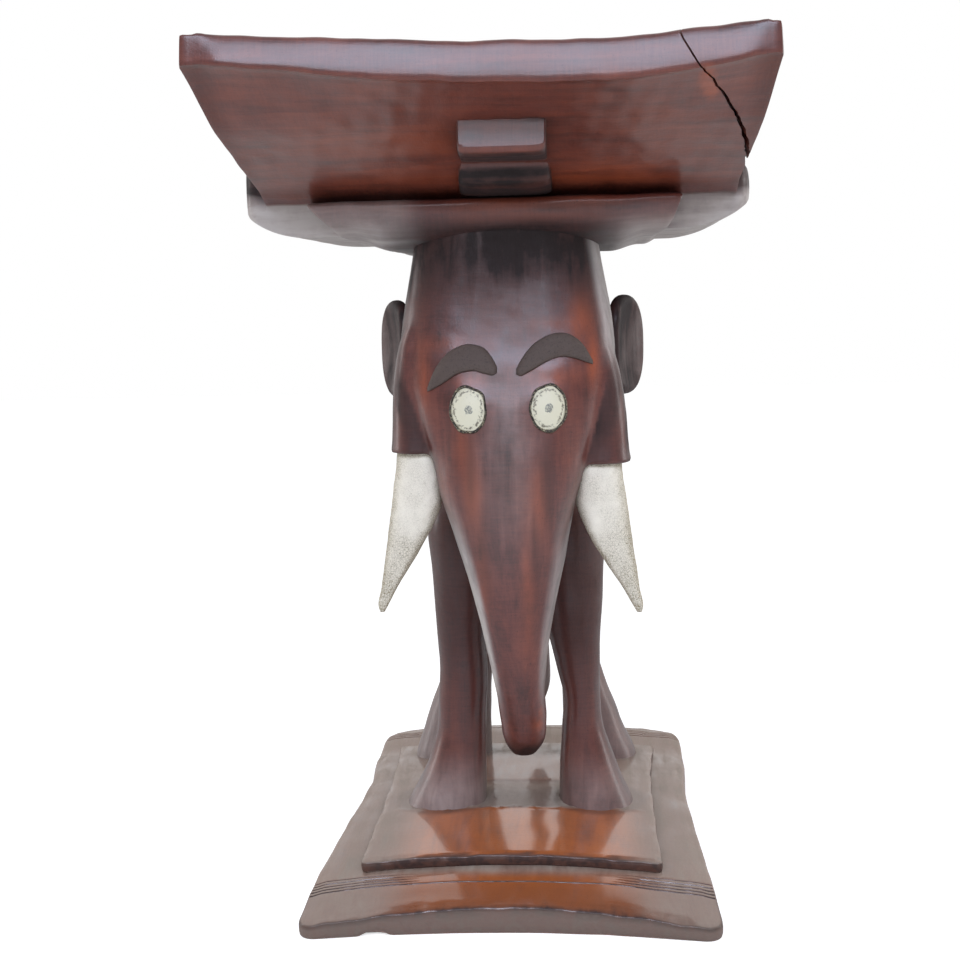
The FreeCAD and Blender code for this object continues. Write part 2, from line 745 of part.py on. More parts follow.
def leg(side, place, rows, depths):
    """One leg from below its foot up into the body."""
    sections = []
    for (height, inner, outer), (forward, backward) in zip(rows, depths):
        x = carving_shift + side * foot_spread * (inner + outer) / 2
        y = place + foot_length * (backward - forward) / 2
        sections.append(level_section(x, y, leg_foot + height * leg_height,
                                      foot_spread * (outer - inner) / 2,
                                      foot_length * (backward + forward) / 2, limb_squareness))
    return Part.makeLoft(sections, True, False)


def sheath(side, collar):
    """Carved sheath that grows out of the cheek down to the tusk's collar."""
    sections = []
    for up, inner, outer, depth in sheath_shares:
        x = carving_shift + side * tusk_reach * (inner + outer) / 2
        sections.append(level_section(x, -tusk_place, collar + clearance + up * sheath_height,
                                      tusk_reach * (outer - inner) / 2,
                                      sheath_half_depth * depth, limb_squareness))
    return Part.makeLoft(sections, True, False)


def tusk_axis(side):
    """Middle of the tusk's top in plan."""
    row = tusk_shares[0]
    return carving_shift + side * tusk_reach * (row[1] + row[2]) / 2, -tusk_place


def tusk_tenon(side, collar, grow=0.0):
    """Round tenon that plugs the tusk into its sheath."""
    x, y = tusk_axis(side)
    return upright_dowel(x, y, collar, collar + tusk_tenon_length + grow, tusk_tenon_radius + grow)


def tusk(side, collar):
    """Short tusk, down, outward and forward from its collar, its inner flank fitted to the trunk."""
    sections = []
    for down, inner, outer, depth, forward in tusk_shares:
        x = carving_shift + side * tusk_reach * (inner + outer) / 2
        sections.append(level_section(x, -tusk_place - forward * tusk_forward,
                                      collar - down * tusk_length,
                                      tusk_reach * (outer - inner) / 2,
                                      tusk_half_depth * depth, limb_squareness))
    horn = Part.makeLoft(sections, True, False).cut(face_solid(clearance))
    return joined([max(horn.Solids, key=lambda solid: solid.Volume), tusk_tenon(side, collar)])


def oval_prism(x, z, half_x, half_z, depth):
    """Oval plug through the face, from well in front of it to a depth behind it."""
    back = -face_place(z, 2) + depth
    section = level_section(0, 0, 0, half_x, half_z, inlay_squareness)
    section.rotate(Vector(), Vector(1, 0, 0), 90)
    section.translate(Vector(x, back, z))
    return Part.Face(section).extrude(Vector(0, -face_reach, 0))


def eye_place(side):
    """Middle of an eye across the face."""
    return eye_shift + side * eye_spacing / 2


def eye_pocket_plug(side, grow=0.0):
    """Plug that fills an eye's whole socket."""
    return oval_prism(eye_place(side), eye_height, eye_half_width + grow,
                      eye_half_height + grow, eye_pocket + grow)


def eye_core(side, grow=0.0):
    """Plug inside the eye's rim."""
    return oval_prism(eye_place(side), eye_height, eye_half_width - eye_rim_width + grow,
                      eye_half_height - eye_rim_width + grow, eye_pocket)


def pupil_core(side, grow=0.0):
    """Small plug in the middle of an eye."""
    return oval_prism(eye_place(side), eye_height, pupil_half_width + grow,
                      pupil_half_height + grow, pupil_depth + grow)


def raised(face, proud):
    """Copy of the face's form, moved forward by how far an inlay stands out."""
    form = face.copy()
    form.translate(Vector(0, -proud, 0))
    return form


def brow_prism(side, grow=0.0):
    """Plug of a brow's crescent outline, through the face to its pocket's depth."""
    lift = right_brow_lift if side > 0 else 0.0
    half = brow_thickness / 2 + grow

    def place(x, z):
        return Vector(eye_shift + side * x, 0, z + lift)

    inner = brow_inner - grow
    outer = brow_outer + grow
    top = arc(place(outer, brow_outer_height + half / 2), place(brow_peak, brow_peak_height + grow),
              place(inner, brow_inner_height + half / 2))
    low_peak = brow_peak_height - brow_thickness - grow
    bottom = arc(place(inner, brow_inner_height - half / 2), place(brow_peak, low_peak),
                 place(outer, brow_outer_height - half / 2))
    inner_end = Part.LineSegment(place(inner, brow_inner_height + half / 2),
                                 place(inner, brow_inner_height - half / 2)).toShape()
    outer_end = Part.LineSegment(place(outer, brow_outer_height - half / 2),
                                 place(outer, brow_outer_height + half / 2)).toShape()
    outline = face_of([top, inner_end, bottom, outer_end])
    back = -face_place(brow_peak_height, 2) + brow_pocket + grow
    outline.translate(Vector(0, back, 0))
    return outline.extrude(Vector(0, -face_reach, 0))


def ear_solid(side, grow=0.0):
    """Rounded flap that leaves the head behind the cheek and flares outwards."""
    half_l, half_h = ear_length / 2 + grow, ear_height / 2 + grow
    section = level_section(0, 0, 0, half_h, half_l, ear_squareness)
    section.rotate(Vector(), Vector(0, 1, 0), 90)
    flap = Part.Face(section).extrude(Vector(ear_thickness + 2 * grow, 0, 0))
    flap.translate(Vector(-ear_thickness / 2 - grow, ear_length / 2, 0))
    flap.rotate(Vector(), Vector(0, 0, 1), -ear_flare)
    if side < 0:
        flap = flap.mirror(Vector(), Vector(1, 0, 0))
    flap.translate(Vector(carving_shift + side * ear_root_width, -ear_root, ear_middle))
    return flap


def tail_solid(grow=0.0):
    """Hanging tail with a thicker tuft, plugged into the rump by a round tenon."""
    length = tail_root_height - tail_tip_height
    sections = []
    for down, radius, behind in tail_shares:
        reach = torso_back + behind * tail_radius - tail_radius / 2
        size = tail_radius * radius + grow
        sections.append(level_section(tail_place, reach, tail_root_height - down * length,
                                      size, size, tail_squareness))
    hang = Part.makeLoft(sections, True, False)
    z = tail_root_height - tail_tenon_length
    tenon = Part.makeCylinder(tail_tenon_radius + grow, tail_tenon_length + tail_radius + grow,
                              Vector(tail_place, torso_back + tail_radius / 2, z), Vector(0, -1, 0))
    return joined([hang, tenon])


def elephant_body():
    """Torso, skull, face with trunk, tusk sheaths and four legs, carved as one."""
    torso = long_form(torso_shares, torso_front, torso_back, torso_half_width,
                      belly_height, back_height, torso_squareness)
    skull = long_form(skull_shares, skull_front, -skull_back, skull_half_width,
                      skull_bottom, skull_top, skull_squareness)
    legs = [leg(-1, -front_leg_place, left_leg_shares, front_leg_depth_shares),
            leg(1, -front_leg_place, right_leg_shares, front_leg_depth_shares),
            leg(-1, hind_leg_place, hind_leg_shares, hind_leg_depth_shares),
            leg(1, hind_leg_place, hind_leg_shares, hind_leg_depth_shares)]
    return joined([torso, skull, face_solid(), sheath(-1, left_collar), sheath(1, right_collar)] + legs)


def elephant():
    """The carved elephant with every socket that its fitted pieces need."""
    tools = [saddle_solid(clearance), crown(plate_crown + clearance), tail_solid(clearance)]
    tools += foot_dowels(clearance) + saddle_dowels(clearance)
    for side, collar in ((-1, left_collar), (1, right_collar)):
        tools += [tusk_tenon(side, collar, clearance), ear_solid(side, clearance),
                  eye_pocket_plug(side, clearance), brow_prism(side, clearance)]
    body = elephant_body()
    for tool in tools:
        body = body.cut(tool)
    return max(body.Solids, key=lambda solid: solid.Volume)


def inlays():
    """Brows, eye rims, eyes and pupils, each shaped by the face that they are let into."""
    face = face_solid()
    rim_form, eye_form = raised(face, eye_rim_proud), raised(face, eye_proud)
    pupil_form, brow_form = raised(face, pupil_proud), raised(face, brow_proud)
    pieces = {}
    for side, name in ((-1, "left"), (1, "right")):
        rim = eye_pocket_plug(side).common(rim_form).cut(eye_core(side, clearance))
        eye = eye_core(side).common(eye_form).cut(pupil_core(side, clearance))
        pieces[name + "_eye_rim"] = rim
        pieces[name + "_eye"] = eye
        pieces[name + "_pupil"] = pupil_core(side).common(pupil_form)
        pieces[name + "_brow"] = brow_prism(side).common(brow_form)
    return pieces


def save(name, shape):
    """Write one piece, or a group of like loose solids, to its own file."""
    if isinstance(shape, list):
        shape = Part.makeCompound(shape)
    if not shape.isValid():
        print("not valid:", name)
    print(name, len(shape.Solids), round(shape.Volume), len(shape.Faces))
    shape.exportStep("parts/" + name + ".step")


def main():
    """Make every piece of the stool."""
    os.makedirs("parts", exist_ok=True)
    seat, seat_corner = seat_pieces()
    pieces = {
        "base_board": base_board(), "base_plate": base_plate(), "elephant": elephant(),
        "saddle_block": saddle_block(), "seat": seat, "seat_corner": seat_corner,
        "left_tusk": tusk(-1, left_collar), "right_tusk": tusk(1, right_collar),
        "left_ear": ear_solid(-1), "right_ear": ear_solid(1), "tail": tail_solid(),
        "foot_dowels": foot_dowels(), "plate_pegs": plate_pegs(),
        "saddle_dowels": saddle_dowels(), "seat_dowels": seat_dowels(),
        "corner_pins": corner_pins()}
    pieces.update(inlays())
    for name, shape in pieces.items():
        save(name, shape)


main()
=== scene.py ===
"""Looks of a carved elephant stool: waxed dark hardwood, white painted tusks and eyes.

Every surface is worked out in millimetres, in the frame of the CAD model: the origin is the
middle of the base's underside, +Z is up and the elephant looks along -Y.
"""

import bpy
import numpy as np
from bpy.props import FloatProperty, FloatVectorProperty, IntProperty, PointerProperty
from mathutils import Matrix, Vector


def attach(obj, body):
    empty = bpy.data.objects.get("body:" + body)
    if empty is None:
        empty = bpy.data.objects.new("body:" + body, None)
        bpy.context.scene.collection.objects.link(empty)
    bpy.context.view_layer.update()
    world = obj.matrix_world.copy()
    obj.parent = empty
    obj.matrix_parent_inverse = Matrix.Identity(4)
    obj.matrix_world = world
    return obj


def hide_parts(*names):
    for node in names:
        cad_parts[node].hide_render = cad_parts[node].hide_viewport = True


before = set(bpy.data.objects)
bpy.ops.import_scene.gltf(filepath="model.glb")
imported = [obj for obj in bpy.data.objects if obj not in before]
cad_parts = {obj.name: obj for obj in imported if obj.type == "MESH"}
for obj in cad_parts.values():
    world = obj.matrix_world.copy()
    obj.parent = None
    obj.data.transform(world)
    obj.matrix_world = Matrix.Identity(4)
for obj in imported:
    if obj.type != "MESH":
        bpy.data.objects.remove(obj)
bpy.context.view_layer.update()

bl_info = {
    "name": "Carved elephant stool",
    "version": (1, 0, 0),
    "blender": (4, 5, 0),
    "location": "View3D > Sidebar > Stool",
    "description": "Builds the carved and waxed surfaces of an elephant stool",
    "category": "Add Mesh",
}

MM = 0.001

# The eyes' middle stands this far right of the frame's middle, in mm, and the face's relief with it
EYES_MIDDLE = 5.5
# Rounding of the saddle block's upper edge, in mm
SADDLE_ARRIS = 5.0

# Rows from the tip of the trunk up to the head's top, each as
# (height, half-width, front, back, lean, squareness) in shares of the face's sizes
face_shares = (
    (0.00, 0.10, 0.665, 0.555, 0.95, 2.0), (0.022, 0.178, 0.712, 0.523, 1.00, 2.1),
    (0.067, 0.218, 0.757, 0.525, 1.00, 2.2), (0.129, 0.232, 0.807, 0.548, 0.83, 2.3),
    (0.19, 0.272, 0.853, 0.560, 0.72, 2.3), (0.253, 0.325, 0.893, 0.566, 0.66, 2.3),
    (0.327, 0.408, 0.935, 0.566, 0.64, 2.3), (0.389, 0.484, 0.966, 0.560, 0.58, 2.3),
    (0.45, 0.560, 0.990, 0.548, 0.44, 2.3), (0.50, 0.630, 1.000, 0.530, 0.34, 2.4),
    (0.562, 0.710, 0.997, 0.505, 0.46, 2.5), (0.61, 0.785, 0.982, 0.480, 0.42, 2.6),
    (0.66, 0.868, 0.955, 0.450, 0.36, 2.6), (0.70, 0.950, 0.928, 0.420, 0.32, 2.6),
    (0.745, 1.00, 0.898, 0.380, 0.32, 2.6), (0.802, 0.982, 0.862, 0.360, 0.34, 2.6),
    (0.87, 0.925, 0.830, 0.350, 0.36, 2.6), (0.945, 0.858, 0.806, 0.350, 0.36, 2.6),
    (1.00, 0.810, 0.785, 0.360, 0.36, 2.6))

# Rows from chest to rump, each as (place, half-width, bottom, top) in shares
torso_shares = (
    (0.00, 0.62, 0.16, 0.90), (0.06, 0.82, 0.07, 0.96), (0.22, 0.95, 0.02, 1.00),
    (0.48, 1.00, 0.00, 1.00), (0.72, 0.97, 0.02, 1.00), (0.88, 0.87, 0.10, 0.96),
    (0.965, 0.68, 0.24, 0.89), (1.00, 0.40, 0.38, 0.76))
skull_shares = (
    (0.00, 0.80, 0.16, 0.98), (0.20, 0.97, 0.04, 1.00),
    (0.55, 1.00, 0.00, 1.00), (1.00, 0.98, 0.00, 1.00))

# Rows from the foot up, each as (height, inner, outer, forward, backward) in shares
left_leg_shares = (
    (0.00, 0.29, 1.01, 0.53, 0.47), (0.044, 0.295, 0.955, 0.49, 0.44),
    (0.096, 0.295, 0.87, 0.42, 0.39), (0.165, 0.29, 0.775, 0.36, 0.33),
    (0.261, 0.285, 0.70, 0.31, 0.30), (0.34, 0.275, 0.685, 0.30, 0.28),
    (0.427, 0.262, 0.67, 0.30, 0.30), (0.523, 0.27, 0.68, 0.31, 0.34),
    (0.627, 0.24, 0.695, 0.36, 0.42), (0.74, 0.17, 0.715, 0.42, 0.52),
    (0.871, 0.11, 0.74, 0.45, 0.64), (1.00, 0.12, 0.68, 0.40, 0.66))
right_leg_shares = (
    (0.00, 0.32, 0.975, 0.53, 0.47), (0.044, 0.325, 0.935, 0.49, 0.44),
    (0.113, 0.33, 0.85, 0.42, 0.39), (0.192, 0.343, 0.767, 0.36, 0.33),
    (0.27, 0.36, 0.70, 0.31, 0.30), (0.348, 0.375, 0.685, 0.30, 0.28),
    (0.435, 0.322, 0.685, 0.30, 0.30), (0.514, 0.27, 0.69, 0.31, 0.34),
    (0.636, 0.20, 0.715, 0.36, 0.42), (0.74, 0.14, 0.73, 0.42, 0.52),
    (0.871, 0.08, 0.74, 0.45, 0.64), (1.00, 0.10, 0.68, 0.40, 0.66))
hind_leg_shares = (
    (0.00, 0.335, 1.075, 0.47, 0.52), (0.052, 0.34, 1.04, 0.43, 0.47),
    (0.113, 0.34, 0.98, 0.37, 0.41), (0.192, 0.335, 0.905, 0.32, 0.35),
    (0.261, 0.33, 0.83, 0.29, 0.32), (0.34, 0.31, 0.76, 0.28, 0.31),
    (0.427, 0.285, 0.69, 0.30, 0.32), (0.54, 0.25, 0.695, 0.36, 0.35),
    (0.653, 0.21, 0.735, 0.46, 0.41), (0.758, 0.16, 0.78, 0.56, 0.50),
    (0.871, 0.11, 0.81, 0.64, 0.58), (1.00, 0.14, 0.72, 0.66, 0.50))

# Rows from the collar down, each as (down, inner, outer, depth, forward) in shares
tusk_shares = (
    (0.00, 0.50, 0.845, 0.92, 0.00), (0.13, 0.495, 0.86, 1.00, 0.05), (0.29, 0.50, 0.885, 0.97, 0.15),
    (0.46, 0.575, 0.91, 0.82, 0.32), (0.64, 0.69, 0.935, 0.62, 0.55), (0.85, 0.845, 0.965, 0.34, 0.84),
    (0.97, 0.92, 0.985, 0.17, 0.98), (1.00, 0.94, 0.975, 0.08, 1.00))
# Rows from the collar up, each as (up, inner, outer, depth) in shares
sheath_shares = (
    (0.00, 0.46, 0.900, 0.96), (0.05, 0.47, 0.885, 0.92), (0.14, 0.47, 0.878, 0.88), (0.45, 0.50, 0.864, 0.88),
    (0.68, 0.53, 0.836, 0.82), (0.85, 0.56, 0.800, 0.72), (1.00, 0.58, 0.74, 0.52))
# Rows from the root down, each as (down, radius, behind) in shares of tail sizes
tail_shares = (
    (0.00, 0.70, 0.00), (0.05, 1.00, 0.55), (0.16, 1.05, 1.15), (0.40, 0.95, 1.45),
    (0.62, 0.85, 0.95), (0.78, 0.85, 0.10), (0.88, 1.15, -0.45), (0.96, 1.05, -0.75), (1.00, 0.45, -0.85))

# Rows along the near rim of the seat, each as (place across, rise of the top, rise of the
# lower edge), the place as a share of the half-width and the rises in mm
rim_rises = (
    (-1.00, 1.2, 14.8), (-0.99, 2.2, 14.8), (-0.94, 3.0, 14.2), (-0.87, 3.6, 13.2), (-0.74, 5.2, 11.4),
    (-0.44, 6.2, 6.1), (-0.11, 4.9, 2.4), (0.23, 2.4, -0.2), (0.39, 1.1, -0.7), (0.56, 0.1, 0.1),
    (0.73, -0.2, 2.7), (0.86, -0.4, 5.4), (0.94, -0.8, 7.9), (0.985, -1.6, 9.2), (1.00, -3.2, 9.4))

# Rows down a facet's side, each as (out, up): out as a share of the nose, up as a share of the height
facet_shares = (
    (0.09, 0.994), (0.22, 0.975), (0.33, 0.940), (0.41, 0.885), (0.51, 0.790), (0.61, 0.675), (0.71, 0.550),
    (0.81, 0.420), (0.90, 0.290), (0.97, 0.180), (1.00, 0.105), (0.95, 0.045), (0.80, 0.010))

# Feet on the plate, each as (across, along, half-width, half-length) in mm
foot_places = ((-59, -35, 36, 34), (66, -35, 34, 34), (-61, 101, 34, 33), (67, 101, 34, 33))

# Rows along a brow from its left end, each as (place, rise, half-thickness) in shares
left_brow_shares = (
    (0.00, -0.12, 0.14), (0.06, 0.10, 0.46), (0.24, 0.58, 0.92), (0.45, 0.92, 0.96),
    (0.67, 1.00, 0.93), (0.85, 0.83, 0.85), (0.96, 0.62, 0.48), (1.00, 0.55, 0.20))
right_brow_shares = (
    (0.00, 0.48, 0.20), (0.05, 0.58, 0.50), (0.16, 0.85, 0.80), (0.33, 1.16, 0.92),
    (0.55, 1.38, 0.86), (0.72, 1.32, 0.80), (0.89, 1.04, 0.55), (1.00, 0.72, 0.15))

# Places on the face where the wax is rubbed through to red-orange wood, each as
# (across, height, spread across, spread up, strength), the first four in mm
rubbed_places = (
    (57.0, 432.0, 8.0, 17.0, 0.95), (66.0, 402.0, 4.0, 18.0, 0.75), (38.0, 428.0, 16.0, 5.0, 0.45),
    (-36.0, 415.0, 17.0, 6.0, 0.55), (-56.0, 392.0, 5.0, 22.0, 0.55), (-24.0, 388.0, 12.0, 5.0, 0.50),
    (40.0, 390.0, 16.0, 7.0, 0.45), (-21.0, 308.0, 6.0, 22.0, 0.80), (26.0, 300.0, 6.0, 26.0, 0.80),
    (-26.0, 340.0, 8.0, 20.0, 0.40), (17.0, 235.0, 5.0, 45.0, 0.50), (-16.0, 250.0, 5.0, 40.0, 0.35),
    (21.0, 128.0, 4.0, 5.0, 0.60), (24.0, 138.0, 3.0, 4.0, 0.50))

# Carved relief of the face, each as (across, height, spread across, spread up, rise) in mm,
# the place across being counted from the middle between the eyes
relief_places = (
    (28.5, 372.0, 17.0, 19.0, 3.0), (48.0, 345.0, 10.0, 24.0, -3.0), (14.0, 348.0, 8.0, 22.0, -1.4),
    (30.0, 398.0, 22.0, 9.0, 1.6))


def linear(code):
    """Linear colour with alpha from an sRGB hex code."""
    parts = [int(code[i:i + 2], 16) / 255 for i in (1, 3, 5)]
    return tuple(p / 12.92 if p <= 0.04045 else ((p + 0.055) / 1.055) ** 2.4 for p in parts) + (1.0,)


def length(label, what, value):
    """Length property in metres from a value in millimetres."""
    return FloatProperty(name=label, description=what, default=value * MM, unit="LENGTH", precision=4)


def share(label, what, value):
    """Share from 0 to 1."""
    return FloatProperty(name=label, description=what, default=value, min=0.0, max=1.0, subtype="FACTOR")


def colour(label, what, code):
    """Colour property from an sRGB hex code."""
    return FloatVectorProperty(name=label, description=what, default=linear(code), size=4,
                               subtype="COLOR", min=0.0, max=1.0)


def power(label, what, value):
    """Power of a lamp in watts."""
    return FloatProperty(name=label, description=what, default=value, min=0.0)


class StoolBaseSizes(bpy.types.PropertyGroup):
    """Sizes of the base board and its plate"""
    width: length("Width", "Base board across", 300)
    depth: length("Length", "Base board from front to back", 424)
    crown: length("Crown", "Height of the board's middle", 38)
    crown_radius: length("Crown radius", "Radius of the crowned top", 1500)
    end_hollow: length("End hollow", "How far the front and back bow inwards", 15)
    side_hollow: length("Side hollow", "How far the sides bow inwards", 5)
    left_waist: length("Left waist", "How far the left side draws in besides", 10.5)
    right_waist: length("Right waist", "How far the right side draws in besides", 6.4)
    corner: length("Corner", "Radius of the front corners in plan", 13)
    back_corner: length("Back corner", "Radius of the back corners in plan", 40)
    front_drop: length("Front drop", "How much lower than the crown the front edge lies", 5.2)
    back_rise: length("Back rise", "How much higher than the crown the back edge lies", 10)
    back_reach: length("Back reach", "How far the board is longer to the back", 14)
    groove_width: length("Line width", "Width of an incised line", 1.5)
    groove_depth: length("Line depth", "Depth of an incised line", 1.1)
    groove_pitch: length("Line pitch", "From one incised line to the next", 3.9)
    groove_inset: length("Line inset", "First incised line from the front end", 37)
    back_inset: length("Back line inset", "First incised line from the back end", 25)
    plate_thickness: length("Plate thickness", "Rise of the plate above the board", 8.5)
    plate_front: length("Plate front", "Plate's reach to the front", 152)
    plate_back: length("Plate back", "Plate's reach to the back", 138)
    plate_front_width: length("Plate front width", "Plate across its front", 222)
    plate_back_width: length("Plate back width", "Plate across its back", 232)
    wear: length("Edge wear", "How far the worn edges wander", 0.9)


class StoolElephantSizes(bpy.types.PropertyGroup):
    """Sizes of the elephant, its tusks, ears and tail"""
    shift: length("Shift", "How far the carving stands right of the middle", 3)
    face_top: length("Face top", "Height of the forehead's top", 507)
    trunk_tip: length("Trunk tip", "Height of the trunk's tip", 100)
    face_half_width: length("Face half-width", "Half of the face's greatest width", 79.5)
    face_reach: length("Face reach", "How far the trunk stands forward", 158)
    lean: length("Trunk lean", "How far the trunk leans to the right", 9.5)
    torso_half_width: length("Torso half-width", "Half of the torso's width", 82)
    torso_front: length("Torso front", "Chest's reach to the front", 62)
    torso_back: length("Torso back", "Rump's reach to the back", 152)
    belly: length("Belly", "Height of the belly", 203)
    back: length("Back", "Height of the back", 501)
    skull_front: length("Skull front", "Skull's reach to the front", 114)
    skull_back: length("Skull back", "Where the skull ends in the torso", 36)
    skull_bottom: length("Skull bottom", "Height of the jaw", 322)
    skull_top: length("Skull top", "Height of the skull's top", 500)
    foot: length("Foot", "Height at which the feet start, inside the plate", 34)
    hip: length("Hip", "Height at which the legs end in the body", 305)
    foot_spread: length("Foot spread", "Feet's reach to the side", 95)
    foot_length: length("Foot length", "Foot from front to back", 64)
    front_legs: length("Front legs", "Front legs' place before the middle", 33)
    hind_legs: length("Hind legs", "Hind legs' place behind the middle", 100)
    tusk_reach: length("Tusk reach", "Tusks' reach to the side", 98)
    left_tusk: length("Left tusk", "Left tusk from collar to tip", 114.5)
    right_tusk: length("Right tusk", "Right tusk from collar to tip", 106.5)
    left_collar: length("Left collar", "Height of the left tusk's collar", 335)
    right_collar: length("Right collar", "Height of the right tusk's collar", 325)
    tusk_place: length("Tusk place", "Tusks' place before the middle", 108)
    tusk_half_depth: length("Tusk half-depth", "Half of a tusk from front to back", 19)
    tusk_forward: length("Tusk forward", "How far the tips point forward", 30)
    sheath_height: length("Sheath height", "Cheek's sheath above the collar", 96)
    sheath_half_depth: length("Sheath half-depth", "Half of a sheath from front to back", 25)
    ear_length: length("Ear length", "Ear from root to edge", 52)
    ear_height: length("Ear height", "Ear from top to bottom", 76)
    ear_middle: length("Ear middle", "Height of the ears' middle", 409)
    ear_root: length("Ear root", "Ears' root before the middle", 74)
    tail_root: length("Tail root", "Height of the tail's root", 430)
    tail_tip: length("Tail tip", "Height of the tail's tip", 76)
    tail_radius: length("Tail radius", "Half of the tail's width", 9)
    tail_place: length("Tail place", "Tail's place across", 12)
    step: length("Surface step", "Grid step of the carved surface", 2.3)
    rounds: IntProperty(name="Smoothing", description="Rounds of smoothing", default=5, min=0, max=30)


class StoolSeatSizes(bpy.types.PropertyGroup):
    """Sizes of the seat and the saddle block"""
    length_over: length("Length", "Seat from tip to tip", 580)
    width: length("Width", "Seat across its tips", 362)
    waist: length("Waist", "Seat across beside the saddle block", 338)
    tip: length("Tip height", "Height of the near tip's middle", 602)
    tip_thickness: length("Tip thickness", "Height of the rim at the tips", 21)
    middle: length("Middle", "Height of the dish's lowest place", 533)
    cross_dish: length("Cross dish", "How far the dish rises to the sides", 8)
    tip_hollow: length("Tip hollow", "How far the tips bow inwards", 7)
    panel_start: length("Panel start", "Where the flat panels start", 115)
    panel_height: length("Panel height", "Height of the panels' inner ends", 519.5)
    wing_width: length("Wing width", "Seat across the wings", 392)
    wing_length: length("Wing length", "Wings from front to back", 214)
    wing_round: length("Wing round", "How far in the wings' underside is round", 62)
    wing_rise: length("Wing rise", "How far the wings' underside rises", 35)
    wing_trim: length("Wing trim", "How much the right wing is shorter and lower", 8)
    belly: length("Belly", "Height of the wings' underside", 494)
    nose: length("Nose", "How far the rim leans out", 6.4)
    rib_start: length("Rib start", "Rib's nose from the middle", 231)
    rib_height: length("Rib height", "Depth of the rib at its nose", 24)
    crack_tip: length("Crack tip", "Where the crack meets the tip", 132)
    crack_side: length("Crack side", "Where the crack meets the side", 170)
    crack_end: length("Crack end", "Crack's far end from the middle", 186)
    crack_bow: length("Crack bow", "How far the crack bows out", 5)
    crack_tilt: length("Crack tilt", "How far the crack leans in over 20 mm of height", 13)
    crack_gap: length("Crack gap", "Width of the crack at its far end", 3.2)
    saddle_length: length("Saddle length", "Saddle block from front to back", 270)
    saddle_bottom: length("Saddle bottom", "Height of the block's underside", 484)
    saddle_top: length("Saddle top", "Height of the block's top", 518)
    saddle_undercut: length("Saddle undercut", "Length of the block's bull nose", 42)


class StoolInlaySizes(bpy.types.PropertyGroup):
    """Sizes of the eyes and brows"""
    shift: length("Shift", "How far the eyes' middle stands to the right", EYES_MIDDLE)
    spacing: length("Spacing", "From eye to eye", 57)
    height: length("Height", "Height of the eyes", 368.5)
    half_width: length("Half-width", "Half of an eye's width", 13.7)
    half_height: length("Half-height", "Half of an eye's height", 17.2)
    rim: length("Rim", "Width of the pitch line", 1.7)
    proud: length("Proud", "How far an eye stands out", 1.6)
    brow_foot: length("Brow foot", "Height at which the brows' rise starts", 385)
    brow_rise: length("Brow rise", "Rise of the left brow's peak", 20)
    brow_half: length("Brow half-thickness", "Half of a brow's thickness", 10)
    brow_proud: length("Brow proud", "How far a brow stands out", 3.2)


class StoolColours(bpy.types.PropertyGroup):
    """Colours of the finishes"""
    wood_deep: colour("Deep wood", "Wood where wax and soot have gathered", "#301a18")
    wood_body: colour("Wood", "Waxed hardwood", "#602f28")
    wood_warm: colour("Warm wood", "Waxed hardwood where it is lighter", "#7f4233")
    wood_bare: colour("Rubbed wood", "Wood rubbed through to its own colour", "#a04a26")
    # Also the colour of painted light: floor light on the wings' and saddle's undersides, and a highlight
    # between the eyes and on the feet's fronts
    dust: colour("Dust", "Dust and dry wax", "#c2bab5")
    base_deep: colour("Base dark", "Wood of the base where it is dirty", "#5a4036")
    base_body: colour("Base wood", "Wood of the base under its polish", "#84492f")
    base_warm: colour("Base warm", "Wood of the base where it is lightest", "#a2623f")
    base_bare: colour("Base rubbed", "Wood of the base rubbed orange", "#bd6526")
    base_dust: colour("Base dust", "Dust on the base", "#a09184")
    brow: colour("Brow", "Scorched brows", "#2f2722")
    brow_dry: colour("Brow dry", "Dry fibres of the brows", "#54463f")
    tusk: colour("Tusk", "Chalky paint", "#f4ecdb")
    tusk_dirt: colour("Tusk dirt", "Dirt in the paint's crackle", "#85775a")
    eye: colour("Eye", "Cream enamel", "#ded8be")
    pitch: colour("Pitch", "Black pitch round the eyes", "#241a12")
    gilt: colour("Worn rim", "Paint that shows through the worn pitch", "#b5aa8a")
    smudge: colour("Smudge", "Grey lines where the enamel is worn", "#77705f")
    pupil: colour("Pupil", "Rubbed grey of the pupils", "#85857c")
    dowel: colour("Dowel", "Plain hardwood of the dowels", "#9a6f49")


class StoolStageSettings(bpy.types.PropertyGroup):
    """Floor, lamps and surroundings"""
    floor: colour("Floor", "Pale floor", "#e9e9e8")
    lift: share("Floor lift", "White added to the floor where the camera sees it", 0.66)
    ambient: share("Ambient light", "Light from all around", 0.46)
    mirrored: share("Mirrored surroundings", "Brightness of what the wax mirrors", 1.0)
    room: share("Mirrored room", "Brightness of the room before the stool, as the wax mirrors it", 0.30)
    key: power("Key lamp", "Power of the lamp above the front", 22.5)
    front: power("Front lamp", "Power of the low lamp in front", 3.0)
    side: power("Side lamps", "Power of each side lamp", 6.5)


def mm(group):
    """Sizes of a property group as plain numbers in millimetres."""
    return {key: getattr(group, key) / MM for key in group.bl_rna.properties.keys()
            if isinstance(getattr(group, key), float)}


def smooth(table, places):
    """Rows of a table at places along its first column: cubic curves through the rows."""
    table = np.array(table, float)
    key = table[:, 0]
    slope = np.gradient(table, key, axis=0)
    places = np.clip(np.asarray(places, float), key[0], key[-1])
    low = np.clip(np.searchsorted(key, places) - 1, 0, len(key) - 2)
    gap = (key[low + 1] - key[low])[..., None]
    u = (places - key[low])[..., None] / gap
    rows = (1 + 2 * u) * (1 - u) ** 2 * table[low] + u ** 2 * (3 - 2 * u) * table[low + 1]
    rows += u * (1 - u) ** 2 * gap * slope[low] + u ** 2 * (u - 1) * gap * slope[low + 1]
    return np.moveaxis(rows, -1, 0)


